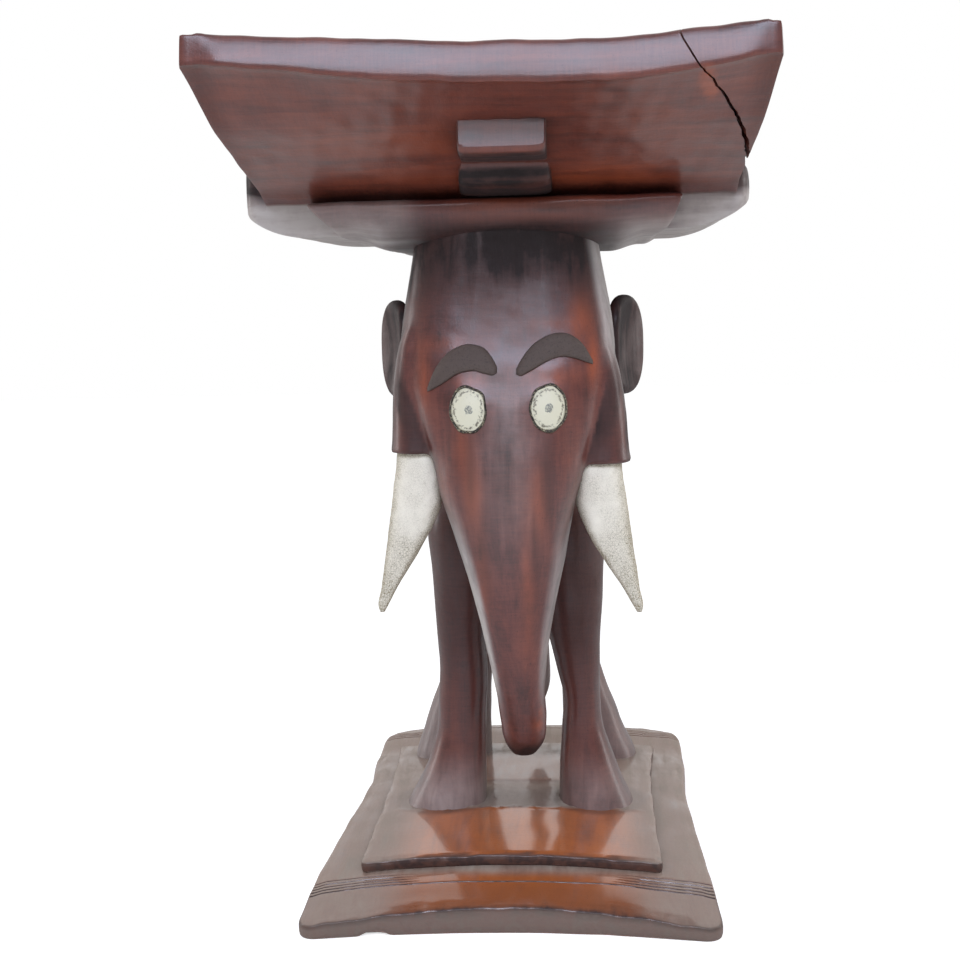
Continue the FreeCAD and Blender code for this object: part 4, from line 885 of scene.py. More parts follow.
def elephant_forms(size):
    """Rings of every form that makes up the carving: superellipses whose sizes follow the tables."""
    shift = size["shift"]
    z = np.linspace(size["trunk_tip"], size["face_top"], 190)
    half, front, back, lean, square = face_form(size, z)
    rings = level_tube(lean, -(front + back) / 2, z, half, (front - back) / 2, square, 144)
    rings[..., 1] -= np.where(rings[..., 1] < -(front + back)[:, None] / 2,
                              relief(rings[..., 0], rings[..., 2]), 0)
    forms = [rings]
    for rows, start, end, half_width, low, high, square in (
            (torso_shares, -size["torso_front"], size["torso_back"], size["torso_half_width"],
             size["belly"], size["back"], 2.8),
            (skull_shares, -size["skull_front"], -size["skull_back"], size["face_half_width"] - 4.5,
             size["skull_bottom"], size["skull_top"], 2.8)):
        u = np.linspace(0, 1, 90)
        _, wide, bottom, top = smooth(rows, u)
        bottom, top = low + bottom * (high - low), low + top * (high - low)
        forms.append(upright_tube(shift, start + u * (end - start), (bottom + top) / 2,
                                  half_width * wide, (top - bottom) / 2, square))
    spread, foot = size["foot_spread"], size["foot_length"]
    before, behind = -size["front_legs"], size["hind_legs"]
    for side, place, rows in ((-1, before, left_leg_shares), (1, before, right_leg_shares),
                              (-1, behind, hind_leg_shares), (1, behind, hind_leg_shares)):
        u = np.linspace(0, 1, 100)
        _, inner, outer, forward, backward = smooth(rows, u)
        if side > 0 and place > 0:
            # The right hind leg is slimmer than the left one
            outer = outer - (0.045 + 0.035 * fade(u, 0.02, 0.15)) * fade(-u, -0.8, -0.5)
        forms.append(level_tube(shift + side * spread * (inner + outer) / 2,
                                place + foot * (backward - forward) / 2,
                                size["foot"] + u * (size["hip"] - size["foot"]),
                                spread * (outer - inner) / 2, foot * (backward + forward) / 2, 2.2))
    for side, collar in ((-1, size["left_collar"]), (1, size["right_collar"])):
        u = np.linspace(0, 1, 60)
        _, inner, outer, depth = smooth(sheath_shares, u)
        outer = outer + 0.03 * (1 - u) * (side > 0)
        reach = size["tusk_reach"]
        forms.append(level_tube(shift + side * reach * (inner + outer) / 2, np.full(60, -size["tusk_place"]),
                                collar + u * size["sheath_height"], reach * (outer - inner) / 2,
                                size["sheath_half_depth"] * depth, 2.2))
    return forms


class STOOL_OT_elephant(bpy.types.Operator):
    """The elephant: torso, skull, face with trunk, tusk sheaths and legs run into one carving"""
    bl_idname = "stool.elephant"
    bl_label = "Elephant"

    def execute(self, context):
        size, seat, base = (mm(getattr(context.scene, "stool_" + part))
                            for part in ("elephant", "seat", "base"))
        made = new_object("elephant_carved", together([tube(form) for form in elephant_forms(size)]))
        merge = made.modifiers.new("merge", "REMESH")
        merge.mode = "VOXEL"
        merge.voxel_size = size["step"] * MM
        ease = made.modifiers.new("ease", "SMOOTH")
        ease.factor = 0.5
        ease.iterations = context.scene.stool_elephant.rounds
        with_modifiers(made)
        place = points_of(made)
        # Knife and gouge leave the surface a little uneven, more on the legs than on the face
        uneven = 0.16 * waves(place, 34.0, 21) + 0.07 * waves(place, 13.0, 22)
        place += normals_of(made) * uneven[:, None]
        x, y, z = place.T
        plate_top = base["crown"] + base["plate_thickness"] - (x * x + y * y) / (2 * base["crown_radius"])
        # The feet end just inside the plate, and the back just inside the saddle block
        in_plate, in_saddle = 1.5, 2.5
        z = np.maximum(z, plate_top - in_plate)
        z = np.minimum(z, saddle_under(seat, y) + in_saddle)
        move_points(made, np.stack([x, y, z], -1))
        front = fade(-normals_of(made)[:, 1], 0.15, 0.6)
        face = front * fade(-y, 95, 112) * fade(np.abs(y - face_front(size, x, z)), 7, 3)
        # Painted shade: the head's top under the saddle block, the cheeks and sheaths beside the trunk, the
        # head's sides behind the face under the seat, and the trunk's downturned tip
        under_saddle_shade = 0.72 * fade(z, 425, 488) + 0.46 * fade(z, 392, 440) * (1 - 0.25 * face)
        half, _, _, lean, _ = face_form(size, z)
        cheek_shade = (0.25 * fade(np.abs(x - lean) - half, -3, 1) * fade(-y, 70, 90)
                 * fade(-z, -402, -380) * fade(z, 316, 322))
        tip = 0.9 * fade(-y, 80, 90) * fade(-z, -122, -104)
        rim = fade((x - lean) / half, 0.84, 0.97) * fade(-y, 80, 100) * fade(z, 392, 420)
        edge = (fade(np.abs(x - lean) / half, 0.68, 0.90) * fade(-y, 95, 112)
                * fade(z, 135, 175) * fade(-z, -320, -240))
        legs = 0.55 * fade(-z, -330, -250) * (1 - face) * (1 - 0.4 * fade(-z, -190, -120))
        streaks = face * spots(((-22, 322, 5, 34, 0.5), (32, 318, 5, 34, 0.5), (-13, 270, 4, 40, 0.3),
                                (23, 262, 4, 45, 0.35)), x, z)
        inside = 0.5 * (1 - face) * fade(z, 300, 345) * fade(-y, 60, 90)
        behind = fade(y, 45, 70)
        low = fade(-z, -190, -75)
        # Painted highlight on the front feet's lower fronts, together with some dust
        shin_highlight = (0.20 + 0.13 * (x < 0)) * (1 - behind) * fade(-z, -95, -50) * (1 - face)
        # The two soft spots in the dust mask on the face, between the eyes and down the trunk, are a painted
        # highlight
        paint(made, rub=face * spots(rubbed_places, x, z) + 0.06 * low * front * (1 - behind),
              soot=under_saddle_shade + legs * (1 - 0.6 * front * low) + streaks + inside + cheek_shade + tip,
              dust=behind * low * np.where(x < 0, 0.42, 0.22) + shin_highlight
              + np.where(x < lean, 1.25, 0.50) * edge + 0.75 * rim
              + face * spots(((5, 350, 17, 34, 0.18), (3, 300, 26, 45, 0.12)), x, z))
        dress(made, finishes()["waxed_hardwood"], "polished_wood", "elephant")
        return {"FINISHED"}


def tusk_piece(size, side, name):
    """Painted tusk: rings that thin, turn outwards and point forward to the tip."""
    shift, reach = size["shift"], size["tusk_reach"]
    collar, length_ = size[name + "_collar"], size[name + "_tusk"]
    # It starts a little above the collar, inside its sheath
    in_sheath, squareness, around = 0.03, 2.5, 96
    u = np.linspace(-in_sheath, 1, 120)
    _, inner, outer, depth, forward = smooth(tusk_shares, u)
    rings = level_tube(shift + side * reach * (inner + outer) / 2,
                       -size["tusk_place"] - forward * size["tusk_forward"],
                       collar - u * length_, reach * (outer - inner) / 2,
                       size["tusk_half_depth"] * depth, squareness, around)
    middle = rings.mean(1, keepdims=True)
    whittled = 1 + 0.018 * waves(rings, 24.0, 31) + 0.008 * waves(rings, 7.0, 32)
    rings = middle + (rings - middle) * whittled[..., None]
    tusk = new_object(name + "_tusk_painted", tube(rings))
    down = (collar - points_of(tusk)[:, 2]) / length_
    side_on = np.abs(normals_of(tusk)[:, 0])
    paint(tusk, dirt=0.45 * fade(side_on, 0.45, 0.95) + 0.5 * fade(down, 0.15, 0.9)
          + 0.5 * fade(down, 0.93, 1.0) + 0.5 * fade(-down, -0.03, 0.0))
    dress(tusk, finishes()["chalky_tusk_paint"], "tusk_paint", name + "_tusk")


def ear_piece(size, side, name):
    """Dished flap whose profile runs over the front, round the rim and back behind."""
    # Half-thickness at the rim and depth of the dish in mm, and where the round rim starts as a share
    rim, dish, flat = 5.0, 3.4, 0.86
    turn = np.linspace(0, np.pi, 11)[1:-1]
    over = np.linspace(0.06, flat, 14)
    radius = np.concatenate([over, flat + 0.14 * np.sin(turn), over[::-1]])
    rise = np.concatenate([rim - dish * (1 - (over / flat) ** 2), rim * np.cos(turn),
                           np.full(len(over), -rim)])
    squareness, around = 2.6, 96
    along, up = rounded_ring(radius * size["ear_length"] / 2, radius * size["ear_height"] / 2,
                             np.full(len(radius), squareness), around)
    along = along + size["ear_length"] / 2
    curl = 0.0022 * (along - 20) ** 2 - 1.6
    flare, in_cheek = np.radians(24.0), 1.5
    out = rise[:, None] + curl
    x = size["shift"] + side * (size["face_half_width"] - in_cheek
                                + np.sin(flare) * along + np.cos(flare) * out)
    y = -size["ear_root"] + np.cos(flare) * along - np.sin(flare) * out
    ear = new_object(name + "_ear_carved", tube(np.stack([x, y, size["ear_middle"] + up], -1)))
    out = side * (points_of(ear)[:, 0] - size["shift"])
    # Painted shade over the ear's face, with less of it towards the outer edge as a painted highlight
    paint(ear, soot=0.95 - 0.30 * fade(out, 93, 101))
    dress(ear, finishes()["waxed_hardwood"], "polished_wood", name + "_ear")


def tail_piece(size):
    """Tail down the rump: round, with a thicker ribbed tuft at its end."""
    u = np.linspace(0, 1, 90)
    _, radius, behind = smooth(tail_shares, u)
    length_ = size["tail_root"] - size["tail_tip"]
    rings = level_tube(np.full(90, size["tail_place"]),
                       size["torso_back"] + (behind - 0.5) * size["tail_radius"],
                       size["tail_root"] - u * length_, size["tail_radius"] * radius,
                       size["tail_radius"] * radius, 2.0, 40)
    turn = np.linspace(0, 2 * np.pi, 40, endpoint=False)
    locks, lock_depth = 11, 0.05
    tuft = fade(u, 0.76, 0.84)[:, None] * lock_depth * np.sin(locks * turn)[None]
    middle = rings.mean(1, keepdims=True)
    rings = middle + (rings - middle) * (1 + tuft + 0.02 * waves(rings, 20.0, 35))[..., None]
    tail = new_object("tail_carved", tube(rings))
    z = points_of(tail)[:, 2]
    paint(tail, soot=np.full(len(z), 0.4), dust=0.3 * fade(-z, -150, -80))
    dress(tail, finishes()["waxed_hardwood"], "polished_wood", "tail")


class STOOL_OT_fitted(bpy.types.Operator):
    """Tusks, ears and tail, each fitted into the carving"""
    bl_idname = "stool.fitted"
    bl_label = "Tusks, ears and tail"

    def execute(self, context):
        size = mm(context.scene.stool_elephant)
        for side, name in ((-1, "left"), (1, "right")):
            tusk_piece(size, side, name)
            ear_piece(size, side, name)
        tail_piece(size)
        return {"FINISHED"}


def brow_shape(size, rows, start, end):
    """Crescent on the face: a centre line that rises by the table, with half an ellipse standing on it."""
    u = np.linspace(0, 1, 110)
    _, rise, thick = smooth(rows, u)
    turn = np.linspace(0, 2 * np.pi, 36, endpoint=False)
    z = (size["brow_foot"] + rise * size["brow_rise"])[:, None]
    z = z + (thick * size["brow_half"])[:, None] * np.cos(turn)
    x = np.broadcast_to((start + u * (end - start))[:, None], z.shape)
    ends = np.sqrt(np.clip(1 - np.abs(2 * u - 1) ** 8, 0.02, 1))[:, None]
    out = np.where(np.sin(turn) > 0, size["brow_proud"] * ends * np.abs(np.sin(turn)) ** 0.7,
                   3.0 * np.sin(turn))
    return x, z, out + 0.18 * waves(np.stack([x, z], -1), 5.0, 41)


def oval(size, middle, half_x, half_z, radius, out, seed, ragged=0.035):
    """Places and rise of rings at shares of an oval's radius, its outline a little ragged."""
    turn = np.linspace(0, 2 * np.pi, 72, endpoint=False)
    ragged = 1 + ragged * waves(np.stack([np.cos(turn), np.sin(turn)], -1), 0.8, seed)
    x = middle + half_x * radius[:, None] * np.cos(turn) * ragged
    z = size["height"] + half_z * radius[:, None] * np.sin(turn) * ragged
    return x, z, np.broadcast_to(out[:, None], x.shape)


class STOOL_OT_face_inlays(bpy.types.Operator):
    """Brows, pitch rims, enamel eyes and pupils, which follow the face that they are let into"""
    bl_idname = "stool.face_inlays"
    bl_label = "Brows and eyes"

    def execute(self, context):
        size, body = mm(context.scene.stool_inlays), mm(context.scene.stool_elephant)
        # Each as (name, places, way to close it, finish, slot, node)
        wanted = []
        shift = size["shift"]
        for name, rows, start, end in (("left", left_brow_shares, shift - 58.5, shift - 7.5),
                                       ("right", right_brow_shares, shift + 6.0, shift + 60.5)):
            wanted.append((name + "_brow_scorched", brow_shape(size, rows, start, end), tube,
                           "scorched_brow_wood", "blackened_wood", name + "_brow"))
        turn = np.linspace(0, 2 * np.pi, 13)[:-1]
        for name, side in (("left", -1), ("right", 1)):
            middle = shift + side * size["spacing"] / 2
            wide, tall, rim = size["half_width"], size["half_height"], size["rim"]
            band = 1 - rim / wide * (0.5 - 0.5 * np.cos(turn))
            wanted.append((name + "_eye_pitch", oval(size, middle, wide, tall, band,
                                                     1.4 * np.sin(turn), 51 + side), hoop,
                           "black_eye_pitch", "eye_pitch", name + "_eye_rim"))
            # A crowned top whose last two rings turn back into the wood
            radius = np.linspace(0.12, 1, 10)
            over = np.concatenate([radius, [0.99, 0.9]])
            rise = np.concatenate([size["proud"] * (1 - 0.75 * radius ** 4), [-0.6, -2.0]])
            inset = rim * 0.7
            wanted.append((name + "_eye_enamel",
                           oval(size, middle, wide - inset, tall - inset, over, rise, 61 + side), tube,
                           "cream_eye_enamel", "eye_paint", name + "_eye"))
            half_pupil, tall_pupil, aside, pupil_proud = 4.0, 4.8, 0.5, 0.25
            wanted.append((name + "_pupil_rubbed",
                           oval(size, middle + aside, half_pupil, tall_pupil, over, rise + pupil_proud,
                                71 + side, 0.14), tube,
                           "rubbed_pupil_paint", "pupil_paint", name + "_pupil"))
        for name, (x, z, out), closed, finish, slot, node in wanted:
            rings = np.stack([x, face_front(body, x, z) - out, z], -1)
            piece = new_object(name, closed(rings))
            if closed is tube:
                place = points_of(piece)
                across, height = place[:, 0], place[:, 2]
                far = np.hypot((across - across.mean()) / size["half_width"],
                               (height - size["height"]) / size["half_height"])
                # A worn ring inside the rim, and wear along the rim itself
                ring = 0.74 + 0.05 * waves(place, 5.0, 75)
                paint(piece, dirt=0.75 * np.exp(-((far - ring) / 0.07) ** 2) + 0.35 * fade(far, 0.84, 1.0))
            dress(piece, finishes()[finish], slot, node)
        return {"FINISHED"}


def seat_top(size, x, y):
    """Height of the dished top: an arc along the seat, and a little higher to the sides."""
    rise = size["tip"] - size["middle"]
    half = size["length_over"] / 2
    radius = (half ** 2 + rise ** 2) / (2 * rise)
    across = size["cross_dish"] * (2 * x / size["width"]) ** 2
    return size["middle"] + radius - np.sqrt((radius - across) ** 2 - y ** 2)


def panel_under(size, y):
    """Height of the flat panel under each end, straight from the saddle block to the tip's lower edge."""
    half = size["length_over"] / 2
    slope = (size["tip"] - size["tip_thickness"] - size["panel_height"]) / (half - size["panel_start"])
    return size["panel_height"] + slope * (np.abs(y) - size["panel_start"])


def seat_board(size):
    """Closed board of the seat: its plan widens to the tips, its ends and its rim are bowed."""
    half_w, half_l = size["width"] / 2, size["length_over"] / 2
    s, t = np.meshgrid(np.linspace(-1, 1, 133), np.linspace(-1, 1, 171))
    corner, straight, fuller = 3.0, 136.0, 0.6
    x, y = rounded_corner(s * half_w, t * half_l, half_w, half_l, corner)
    waist = size["waist"] / 2
    taper = np.clip((np.abs(y) - straight) / (half_l - straight), 0, 1)
    x = x / half_w * (waist + taper * (half_w - waist)) * (half_w + fuller) / half_w
    y = y * (1 - size["tip_hollow"] / half_l * (1 - (x / half_w) ** 2)) * (half_l - size["nose"]) / half_l
    # The left corner reaches a little further out than the right one
    left_reach, near_rise = 3.2, 3.2
    x = x - left_reach * fade(np.abs(y), 190, half_l - 8) * np.clip(-s, 0, 1) ** 2 * fade(-y, -100, 100)
    _, lift, drop = smooth(rim_rises, np.clip(x / (half_w - 4), -1, 1))
    near = fade(-y, 120, half_l - 6)
    top = seat_top(size, x, y) + (lift + near_rise) * near
    under = np.maximum(panel_under(size, y), size["panel_height"] - 2)
    under = under + drop * fade(-y, 215, half_l - 6)
    plan = np.stack([x, y], -1)
    top = top + 0.5 * waves(plan, 60.0, 81) + 0.25 * waves(plan, 22.0, 82)
    under = under + 0.35 * waves(plan, 48.0, 83) + 0.2 * waves(plan, 17.0, 84)
    ends = fade(np.abs(y), half_l - 30, half_l - 12) * fade(half_w - np.abs(x), -1, 24)
    return slab(x, y, top, under, facet(size["nose"]), 0.22 + 0.78 * ends)


def seat_wings(size):
    """Closed middle of the seat: its sides bow out past the board and its underside turns up in a
    quarter ellipse."""
    half_w, half_l = size["wing_width"] / 2, size["wing_length"] / 2
    s, t = np.meshgrid(np.linspace(-1, 1, 121), np.linspace(-1, 1, 61))
    corner, bow, nose = 9.0, 10.0, 1.6
    x, y = rounded_corner(s * half_w, t * half_l, half_w, half_l, corner)
    x = x * (1 - bow / half_w * (y / half_l) ** 2) * (half_w - nose) / half_w
    start = half_w - size["wing_round"]
    u = np.clip((np.abs(x) - start) / size["wing_round"], 0, 1)
    # The right wing is a little shorter than the left one and its edge lies lower
    right = fade(x, 60, half_w)
    x = x - size["wing_trim"] * right
    plan = np.stack([x, y], -1)
    under = size["belly"] + size["wing_rise"] * (1 - np.sqrt(1 - u * u)) + 0.5 * waves(plan, 40.0, 85)
    edge = fade(np.abs(s), 0.90, 1.0)
    # The top lies just under the board's, and lower along the wing's edge
    recess, edge_drop = 0.5, 2.5
    top = seat_top(size, x, y) - recess - edge_drop * edge - size["wing_trim"] * fade(x, 140, 178)
    top = top + 0.4 * waves(plan, 50.0, 86)
    return slab(x, y, top, under, bulge(nose, 5))


def seat_rib(size, side):
    """Closed rib under a panel: rounded rectangles carried along it. Its lug has a facet, a chamfer
    and a level underside, and a round-cornered boss steps down from it to the saddle block."""
    in_saddle, boss = 6, 36
    start, root = size["rib_start"], size["saddle_length"] / 2 - in_saddle
    nose, end, back = (panel_under(size, place) for place in (start, root + boss, root))
    deep = nose - size["rib_height"] + 1.5
    # Rows from the nose back, each as (place, half-width, underside, top inside the seat) in mm
    rows = ((0.0, 27.6, deep + 6.0, nose + 4), (0.4, 28.3, deep + 5.2, nose + 5.6),
            (3.0, 28.7, deep + 2.6, nose + 6), (6.5, 28.9, deep + 0.2, nose + 6),
            (10.0, 29.0, deep, nose + 5), (61.0, 29.4, deep + 1.5, end + 6),
            (63.0, 29.6, deep - 2.0, end + 6), (65.5, 30.6, deep - 9.0, end + 6),
            (69.0, 31.6, deep - 13.0, end + 5), (76.0, 32.4, deep - 15.5, end + 3),
            (start - root, 33.0, back - 6, back + 6))
    run = np.unique(np.concatenate([np.linspace(0, 9, 16), np.linspace(9, 58, 14), np.linspace(58, 78, 24),
                                    np.linspace(78, start - root, 14)]))
    place, *columns = np.array(rows, float).T
    wide, low, high = (np.interp(run, place, column) for column in columns)
    # The rib stands right of the middle, more at its nose than at its root
    middle = np.interp(run, [0, start - root], [9.3, 6.3])[:, None]
    corner = np.interp(run, [58, 66], [9.0, 4.5])
    rings = upright_tube(middle, -(start - run), (low + high) / 2, wide, (high - low) / 2, corner, 96)
    lean = 0.13
    rings[..., 1] -= lean * (nose + 6 - rings[..., 2]) * fade(-rings[..., 1], start - 14, start - 4)
    rings[..., 1] *= -side
    middle = rings[0].mean(0)
    face = [middle + inset * (rings[:1] - middle) for inset in (0.5, 0.8, 0.95)]
    return tube(np.concatenate(face + [rings]))


def beyond_crack(size, offset):
    """Closed block over the near right corner, from the crack's wavy line outwards."""
    half = size["length_over"] / 2
    y = np.linspace(-half - 12, -size["crack_end"] + 34, 90)
    u = (y + half) / (half - size["crack_end"])
    line = size["crack_tip"] + u * (size["crack_side"] - size["crack_tip"])
    line += (4 * size["crack_bow"] * u * (1 - u) + 0.5 * waves(y[:, None], 16.0, 91)
             + 0.3 * waves(y[:, None], 5.0, 92))
    line += offset * (0.4 + 0.6 * np.clip(u, 0, 1))
    # The block ends well outside the seat on the right, above and below
    right, over, under = 290, 660.0, 480.0
    x = line[:, None] + np.linspace(0, 1, 4) * (right - line[:, None])
    points, quads, triangles = slab(x, np.broadcast_to(y[:, None], x.shape), np.full(x.shape, over),
                                    np.full(x.shape, under), [(0.0, up) for up in np.linspace(0.98, 0.02, 49)])
    above = points[:, 2] - panel_under(size, points[:, 1])
    # It leans in with height and, behind the rim, bends once inside the board
    bend = 4.5 * fade(above, 5, 11) * fade(points[:, 1], -half + 6, -half + 14)
    points[:, 0] += bend - size["crack_tilt"] / 20 * above
    return points, quads, triangles


class STOOL_OT_seat(bpy.types.Operator):
    """Dished seat with its wings and ribs, and the corner that the crack parts from it"""
    bl_idname = "stool.seat"
    bl_label = "Seat"

    def execute(self, context):
        size = mm(context.scene.stool_seat)
        seat = new_object("seat_carved", seat_board(size))
        for part in (seat_wings(size), seat_rib(size, -1), seat_rib(size, 1)):
            tool = new_object("seat_part", part)
            boolean(seat, tool, "UNION")
            bpy.data.objects.remove(tool)
        corner = bpy.data.objects.new("seat_corner_carved", seat.data.copy())
        context.scene.collection.objects.link(corner)
        gap = size["crack_gap"]
        for piece, offset, operation in ((seat, -gap / 2, "DIFFERENCE"), (corner, gap / 2, "INTERSECT")):
            tool = new_object("crack", beyond_crack(size, offset))
            boolean(piece, tool, operation)
            bpy.data.objects.remove(tool)
        # Places rubbed bare on the near panel and beside the crack, as rubbed_places has them
        panel_places = ((-60, 552, 70, 9, 0.30), (45, 531, 50, 6, 0.45), (-75, 533, 40, 6, 0.35),
                        (95, 533, 30, 7, 0.35))
        crack_places = ((138, 577, 3.5, 4, 1.0), (142, 571, 3, 3, 1.0))
        for piece, node in ((seat, "seat"), (corner, "seat_corner")):
            x, y, z = points_of(piece).T
            normal = normals_of(piece)
            down = fade(-normal[:, 2], 0.3, 0.7)
            panel = down * fade(np.abs(y), 118, 130)
            rib = (fade(-np.abs(x - 8), -38, -31) * fade(-np.abs(y), -232, -228)
                   * fade(panel_under(size, y) - z, 1, 5))
            nose = fade(-normal[:, 1], 0.8, 0.93) * fade(np.abs(y), 222, 226)
            flank = fade(-np.abs(y), -113, -108) * fade(-normal[:, 2], -0.9, -0.6)
            lip = fade(-np.abs(x - 8), -36, -26) * fade(-np.abs(y), -226, -214) * fade(np.abs(y), 116, 124)
            # Painted shade under the rib's lug, in the hollow behind it, on the panel beside the saddle block
            # and on the wings' upper front faces; the pale wing undersides are dust together with painted
            # light from the floor
            paint(piece,
                  rub=panel * (0.22 + spots(panel_places, x, z))
                  + 2.0 * fade(-y, 244, 252) * spots(crack_places, x, z),
                  soot=1.5 * rib * (1 - nose) + 0.5 * lip * down + 0.3 * fade(-np.abs(y), -142, -124) * panel
                  + 0.30 * fade(np.abs(x), 160, 178) * panel + 1.2 * flank * fade(z, 514, 526),
                  dust=(1.0 + 0.3 * (x < 0)) * flank * fade(np.abs(x), 95, 125) * fade(-z, -524, -512)
                  + 0.10 * fade(normal[:, 2], 0.3, 0.8))
            dress(piece, finishes()["waxed_seat_hardwood"], "polished_wood", node)
            piece.data.set_sharp_from_angle(angle=np.radians(30))
        return {"FINISHED"}


def saddle_block(size):
    """Closed block: loops seen from the side, carried across and drawn in at its sides."""
    half, low, high = size["saddle_length"] / 2, size["saddle_bottom"], size["saddle_top"]
    # Side view, as a loop: flat below, a quarter ellipse up to the arris, flat on top
    arris, undercut = SADDLE_ARRIS, size["saddle_undercut"]
    u = np.linspace(-np.pi / 2, np.pi / 2, 61)
    # The sine reaches the root of a half over the middle of u, so it is scaled up to 1
    y = np.concatenate([(half - undercut) * np.sin(u[15:-15]) * 1.41421,
                        half - undercut + undercut * np.sin(u[31:]),
                        half - arris + arris * np.cos(u[32:-1:4])])
    z = np.concatenate([np.full(31, low), high - arris - (high - arris - low) * np.cos(u[31:]),
                        high - arris + arris * np.sin(u[32:-1:4])])
    y, z = np.concatenate([y, -y[31:][::-1]]), np.concatenate([z, z[31:][::-1]])
    order = np.argsort(np.arctan2(z - (low + high) / 2, y / 4))
    y, z = y[order], z[order]
    tips = np.array([0.975, 0.99, 0.998, 1])
    s = np.concatenate([-tips[::-1], np.linspace(-0.96, 0.96, 97), tips])
    scale = np.sqrt(np.clip(1 - ((np.abs(s) - 0.96) / 0.0405).clip(0) ** 2, 0, 1))
    # Half-widths of the left and the right side at four levels, in mm
    levels = (low, low + 4, low + 10, high)
    left_halves, right_halves = (107, 116, 121, 137), (115, 121, 124, 131)
    drawn = np.where(s[:, None] < 0, np.interp(z, levels, left_halves), np.interp(z, levels, right_halves))
    middle = (low + high) / 2
    # The sides' edges are rounded by these amounts, and the underside is raised to the sides
    round_y, round_z, half_height, raised = 2.2, 2.4, 17, 5.5
    shrink, lower = 1 - round_y / half * (1 - scale), 1 - round_z / half_height * (1 - scale)
    rings = np.stack([s[:, None] * drawn, y * shrink[:, None],
                      middle + (z - middle) * lower[:, None]], -1)
    rings[..., 2] += raised * fade(np.abs(rings[..., 0]), 82, 106) * (high - rings[..., 2]) / (high - low)
    rings = rings + 0.35 * waves(rings, 30.0, 95)[..., None] * np.array([0.3, 1.0, 1.0])
    return tube(rings)


class STOOL_OT_saddle(bpy.types.Operator):
    """Saddle block: a bull-nosed slab whose sides draw in below"""
    bl_idname = "stool.saddle"
    bl_label = "Saddle block"

    def execute(self, context):
        size = mm(context.scene.stool_seat)
        saddle = new_object("saddle_block_carved", saddle_block(size))
        x, y, z = points_of(saddle).T
        neck = np.exp(-((x - 3) / 92) ** 6)
        below = fade(-z, -506, -488)
        # Painted shade on the underside over the neck and along the top arris under the panel; the pale
        # underside to the sides is dust together with painted light from the floor
        paint(saddle,
              soot=1.1 * neck * below + 0.35 * neck * fade(-z, -512, -500) + 0.9 * fade(z, 516, 518),
              dust=0.70 * (1 - neck) * below + 0.30 * fade(-x, 48, 76) * fade(-y, 100, 120)
              + 0.18 * fade(np.abs(x), 60, 110) * fade(-z, -514, -500),
              rub=0.30 * fade(-np.abs(x - 25), -75, -40) * fade(z, 496, 503))
        dress(saddle, finishes()["waxed_seat_hardwood"], "polished_wood", "saddle_block")
        return {"FINISHED"}


class STOOL_OT_dowels(bpy.types.Operator):
    """Plain turned dowels, pegs and pins inside the joints"""
    bl_idname = "stool.dowels"
    bl_label = "Dowels"

    def execute(self, context):
        for name in ("foot_dowels", "plate_pegs", "saddle_dowels", "seat_dowels", "corner_pins"):
            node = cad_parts[name]
            node.data.materials.clear()
            node.data.materials.append(finishes()["plain_dowel_wood"])
        return {"FINISHED"}


def pale_floor(stage):
    """Pale matt floor, a little brighter where the camera sees it."""
    reach = 6
    corners = np.array([[-reach, -reach, 0], [reach, -reach, 0], [reach, reach, 0], [-reach, reach, 0]])
    floor = new_object("floor", (corners / MM, np.array([[0, 1, 2, 3]]), np.zeros((0, 3), int)))
    material, tree = new_material("pale_floor")
    seen = add(tree, "ShaderNodeLightPath").outputs["Is Camera Ray"]
    seen = add(tree, "ShaderNodeMath", {0: seen, 1: stage.lift}, operation="MULTIPLY").outputs[0]
    matt = add(tree, "ShaderNodeBsdfPrincipled", {"Base Color": tuple(stage.floor), "Roughness": 0.9,
                                                  "Emission Strength": seen})
    add(tree, "ShaderNodeOutputMaterial", {"Surface": matt.outputs[0]})
    floor.data.materials.append(material)


def surroundings(scene, stage):
    """White all around, dimmer before the stool where the wax mirrors it."""
    world = bpy.data.worlds.new("white_surroundings")
    world.use_nodes = True
    tree = world.node_tree
    tree.nodes.clear()
    ray = add(tree, "ShaderNodeLightPath")
    shiny = add(tree, "ShaderNodeMath", {0: ray.outputs["Is Glossy Ray"],
                                         1: ray.outputs["Is Transmission Ray"]},
                operation="MAXIMUM").outputs[0]
    way = add(tree, "ShaderNodeTexCoord").outputs["Generated"]
    behind = add(tree, "ShaderNodeSeparateXYZ", {0: way}).outputs["Y"]
    level = add(tree, "ShaderNodeMapRange", {"Value": behind, "From Min": -0.25, "From Max": 0.45,
                                             "To Min": stage.room, "To Max": stage.mirrored}).outputs[0]
    level = add(tree, "ShaderNodeMapRange", {"Value": shiny, "To Min": stage.ambient,
                                             "To Max": level}).outputs[0]
    level = add(tree, "ShaderNodeMath", {0: level, 1: ray.outputs["Is Camera Ray"]},
                operation="MAXIMUM").outputs[0]
    sky = add(tree, "ShaderNodeBackground", {"Color": (1.0, 1.0, 1.0, 1.0), "Strength": level})
    add(tree, "ShaderNodeOutputWorld", {"Surface": sky.outputs[0]})
    scene.world = world


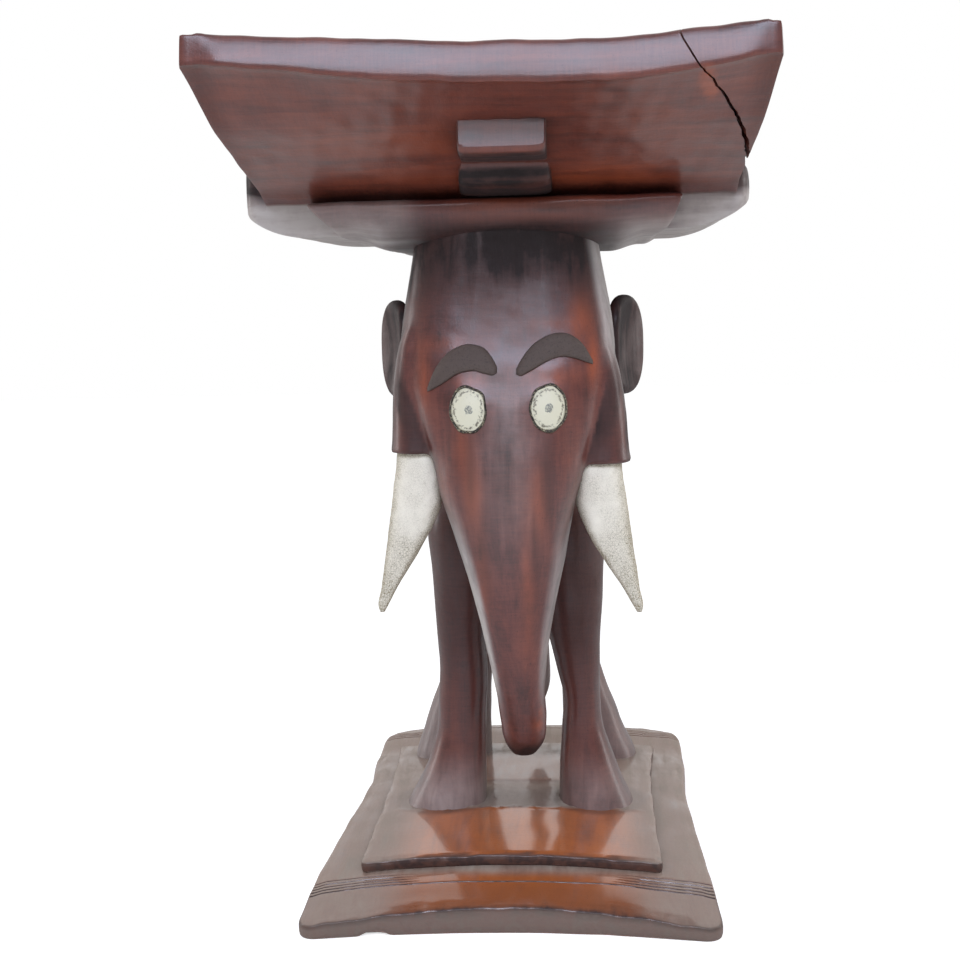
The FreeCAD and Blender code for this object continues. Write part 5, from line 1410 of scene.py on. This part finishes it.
def lamps(scene, stage):
    """Soft lamps above, before and beside the stool."""
    # Each lamp as (name, watts, size, place and colour), in metres, aimed at the stool's middle
    middle = Vector((0.0, 0.0, 0.32))
    for name, watts, size, place, hue in (
            ("key", stage.key, (1.9, 0.45), (0.05, -1.65, 1.48), "#dae6ff"),
            ("front", stage.front, (1.1, 0.14), (0.0, -1.65, 1.05), "#eef2ff"),
            ("left", stage.side, (0.5, 1.4), (-1.6, 0.25, 0.75), "#ffffff"),
            ("right", stage.side, (0.5, 1.4), (1.6, 0.25, 0.75), "#ffffff")):
        lamp = bpy.data.lights.new(name, "AREA")
        lamp.shape, lamp.size, lamp.size_y = "RECTANGLE", size[0], size[1]
        lamp.energy, lamp.color = watts, linear(hue)[:3]
        holder = bpy.data.objects.new(name, lamp)
        scene.collection.objects.link(holder)
        aim = (middle - Vector(place)).to_track_quat("-Z", "Y")
        holder.matrix_world = Matrix.Translation(place) @ aim.to_matrix().to_4x4()


def camera(scene):
    """Camera fitted to the photo, so that the render lies over it."""
    # Its place in metres, its lens and film in mm, and its turn in degrees
    stand, focal, film = (0.06344, -1.22693, 0.44806), 57.05, 36.0
    yaw, pitch, roll = (np.radians(angle) for angle in (4.21, 6.87, -1.43))
    ahead = np.array([-np.sin(yaw) * np.cos(pitch), np.cos(yaw) * np.cos(pitch), -np.sin(pitch)])
    right = np.array([np.cos(yaw), np.sin(yaw), 0.0])
    up = np.cross(right, ahead)
    turned = np.stack([np.cos(roll) * right + np.sin(roll) * up,
                       np.cos(roll) * up - np.sin(roll) * right, -ahead], 1)
    lens = bpy.data.cameras.new("camera")
    lens.lens, lens.sensor_width = focal, film
    holder = bpy.data.objects.new("camera", lens)
    scene.collection.objects.link(holder)
    holder.matrix_world = Matrix.Translation(stand) @ Matrix(turned.tolist()).to_4x4()
    scene.camera = holder


class STOOL_OT_stage(bpy.types.Operator):
    """Pale floor, soft lamps, white surroundings and the camera"""
    bl_idname = "stool.stage"
    bl_label = "Floor, light and camera"

    def execute(self, context):
        scene = context.scene
        pale_floor(scene.stool_stage)
        surroundings(scene, scene.stool_stage)
        lamps(scene, scene.stool_stage)
        camera(scene)
        scene.view_settings.view_transform = "Standard"
        return {"FINISHED"}


operators = (STOOL_OT_base, STOOL_OT_elephant, STOOL_OT_fitted, STOOL_OT_face_inlays, STOOL_OT_saddle,
             STOOL_OT_seat, STOOL_OT_dowels, STOOL_OT_stage)
groups = {"stool_base": StoolBaseSizes, "stool_elephant": StoolElephantSizes, "stool_seat": StoolSeatSizes,
          "stool_inlays": StoolInlaySizes, "stool_colours": StoolColours, "stool_stage": StoolStageSettings}


class STOOL_PT_panel(bpy.types.Panel):
    """Sizes, colours and building steps of the stool"""
    bl_idname = "STOOL_PT_panel"
    bl_label = "Carved elephant stool"
    bl_space_type = "VIEW_3D"
    bl_region_type = "UI"
    bl_category = "Stool"

    def draw(self, context):
        for operator in operators:
            self.layout.operator(operator.bl_idname)
        for name, group in groups.items():
            box = self.layout.box()
            for key in group.__annotations__:
                box.prop(getattr(context.scene, name), key)


def register():
    for made in (*groups.values(), *operators, STOOL_PT_panel):
        bpy.utils.register_class(made)
    for name, group in groups.items():
        setattr(bpy.types.Scene, name, PointerProperty(type=group))


def unregister():
    for name in groups:
        delattr(bpy.types.Scene, name)
    for made in reversed((*groups.values(), *operators, STOOL_PT_panel)):
        bpy.utils.unregister_class(made)


def main():
    """Build the whole stool."""
    register()
    for operator in operators:
        group, step = operator.bl_idname.split(".")
        getattr(getattr(bpy.ops, group), step)()


if __name__ == "__main__":
    main()
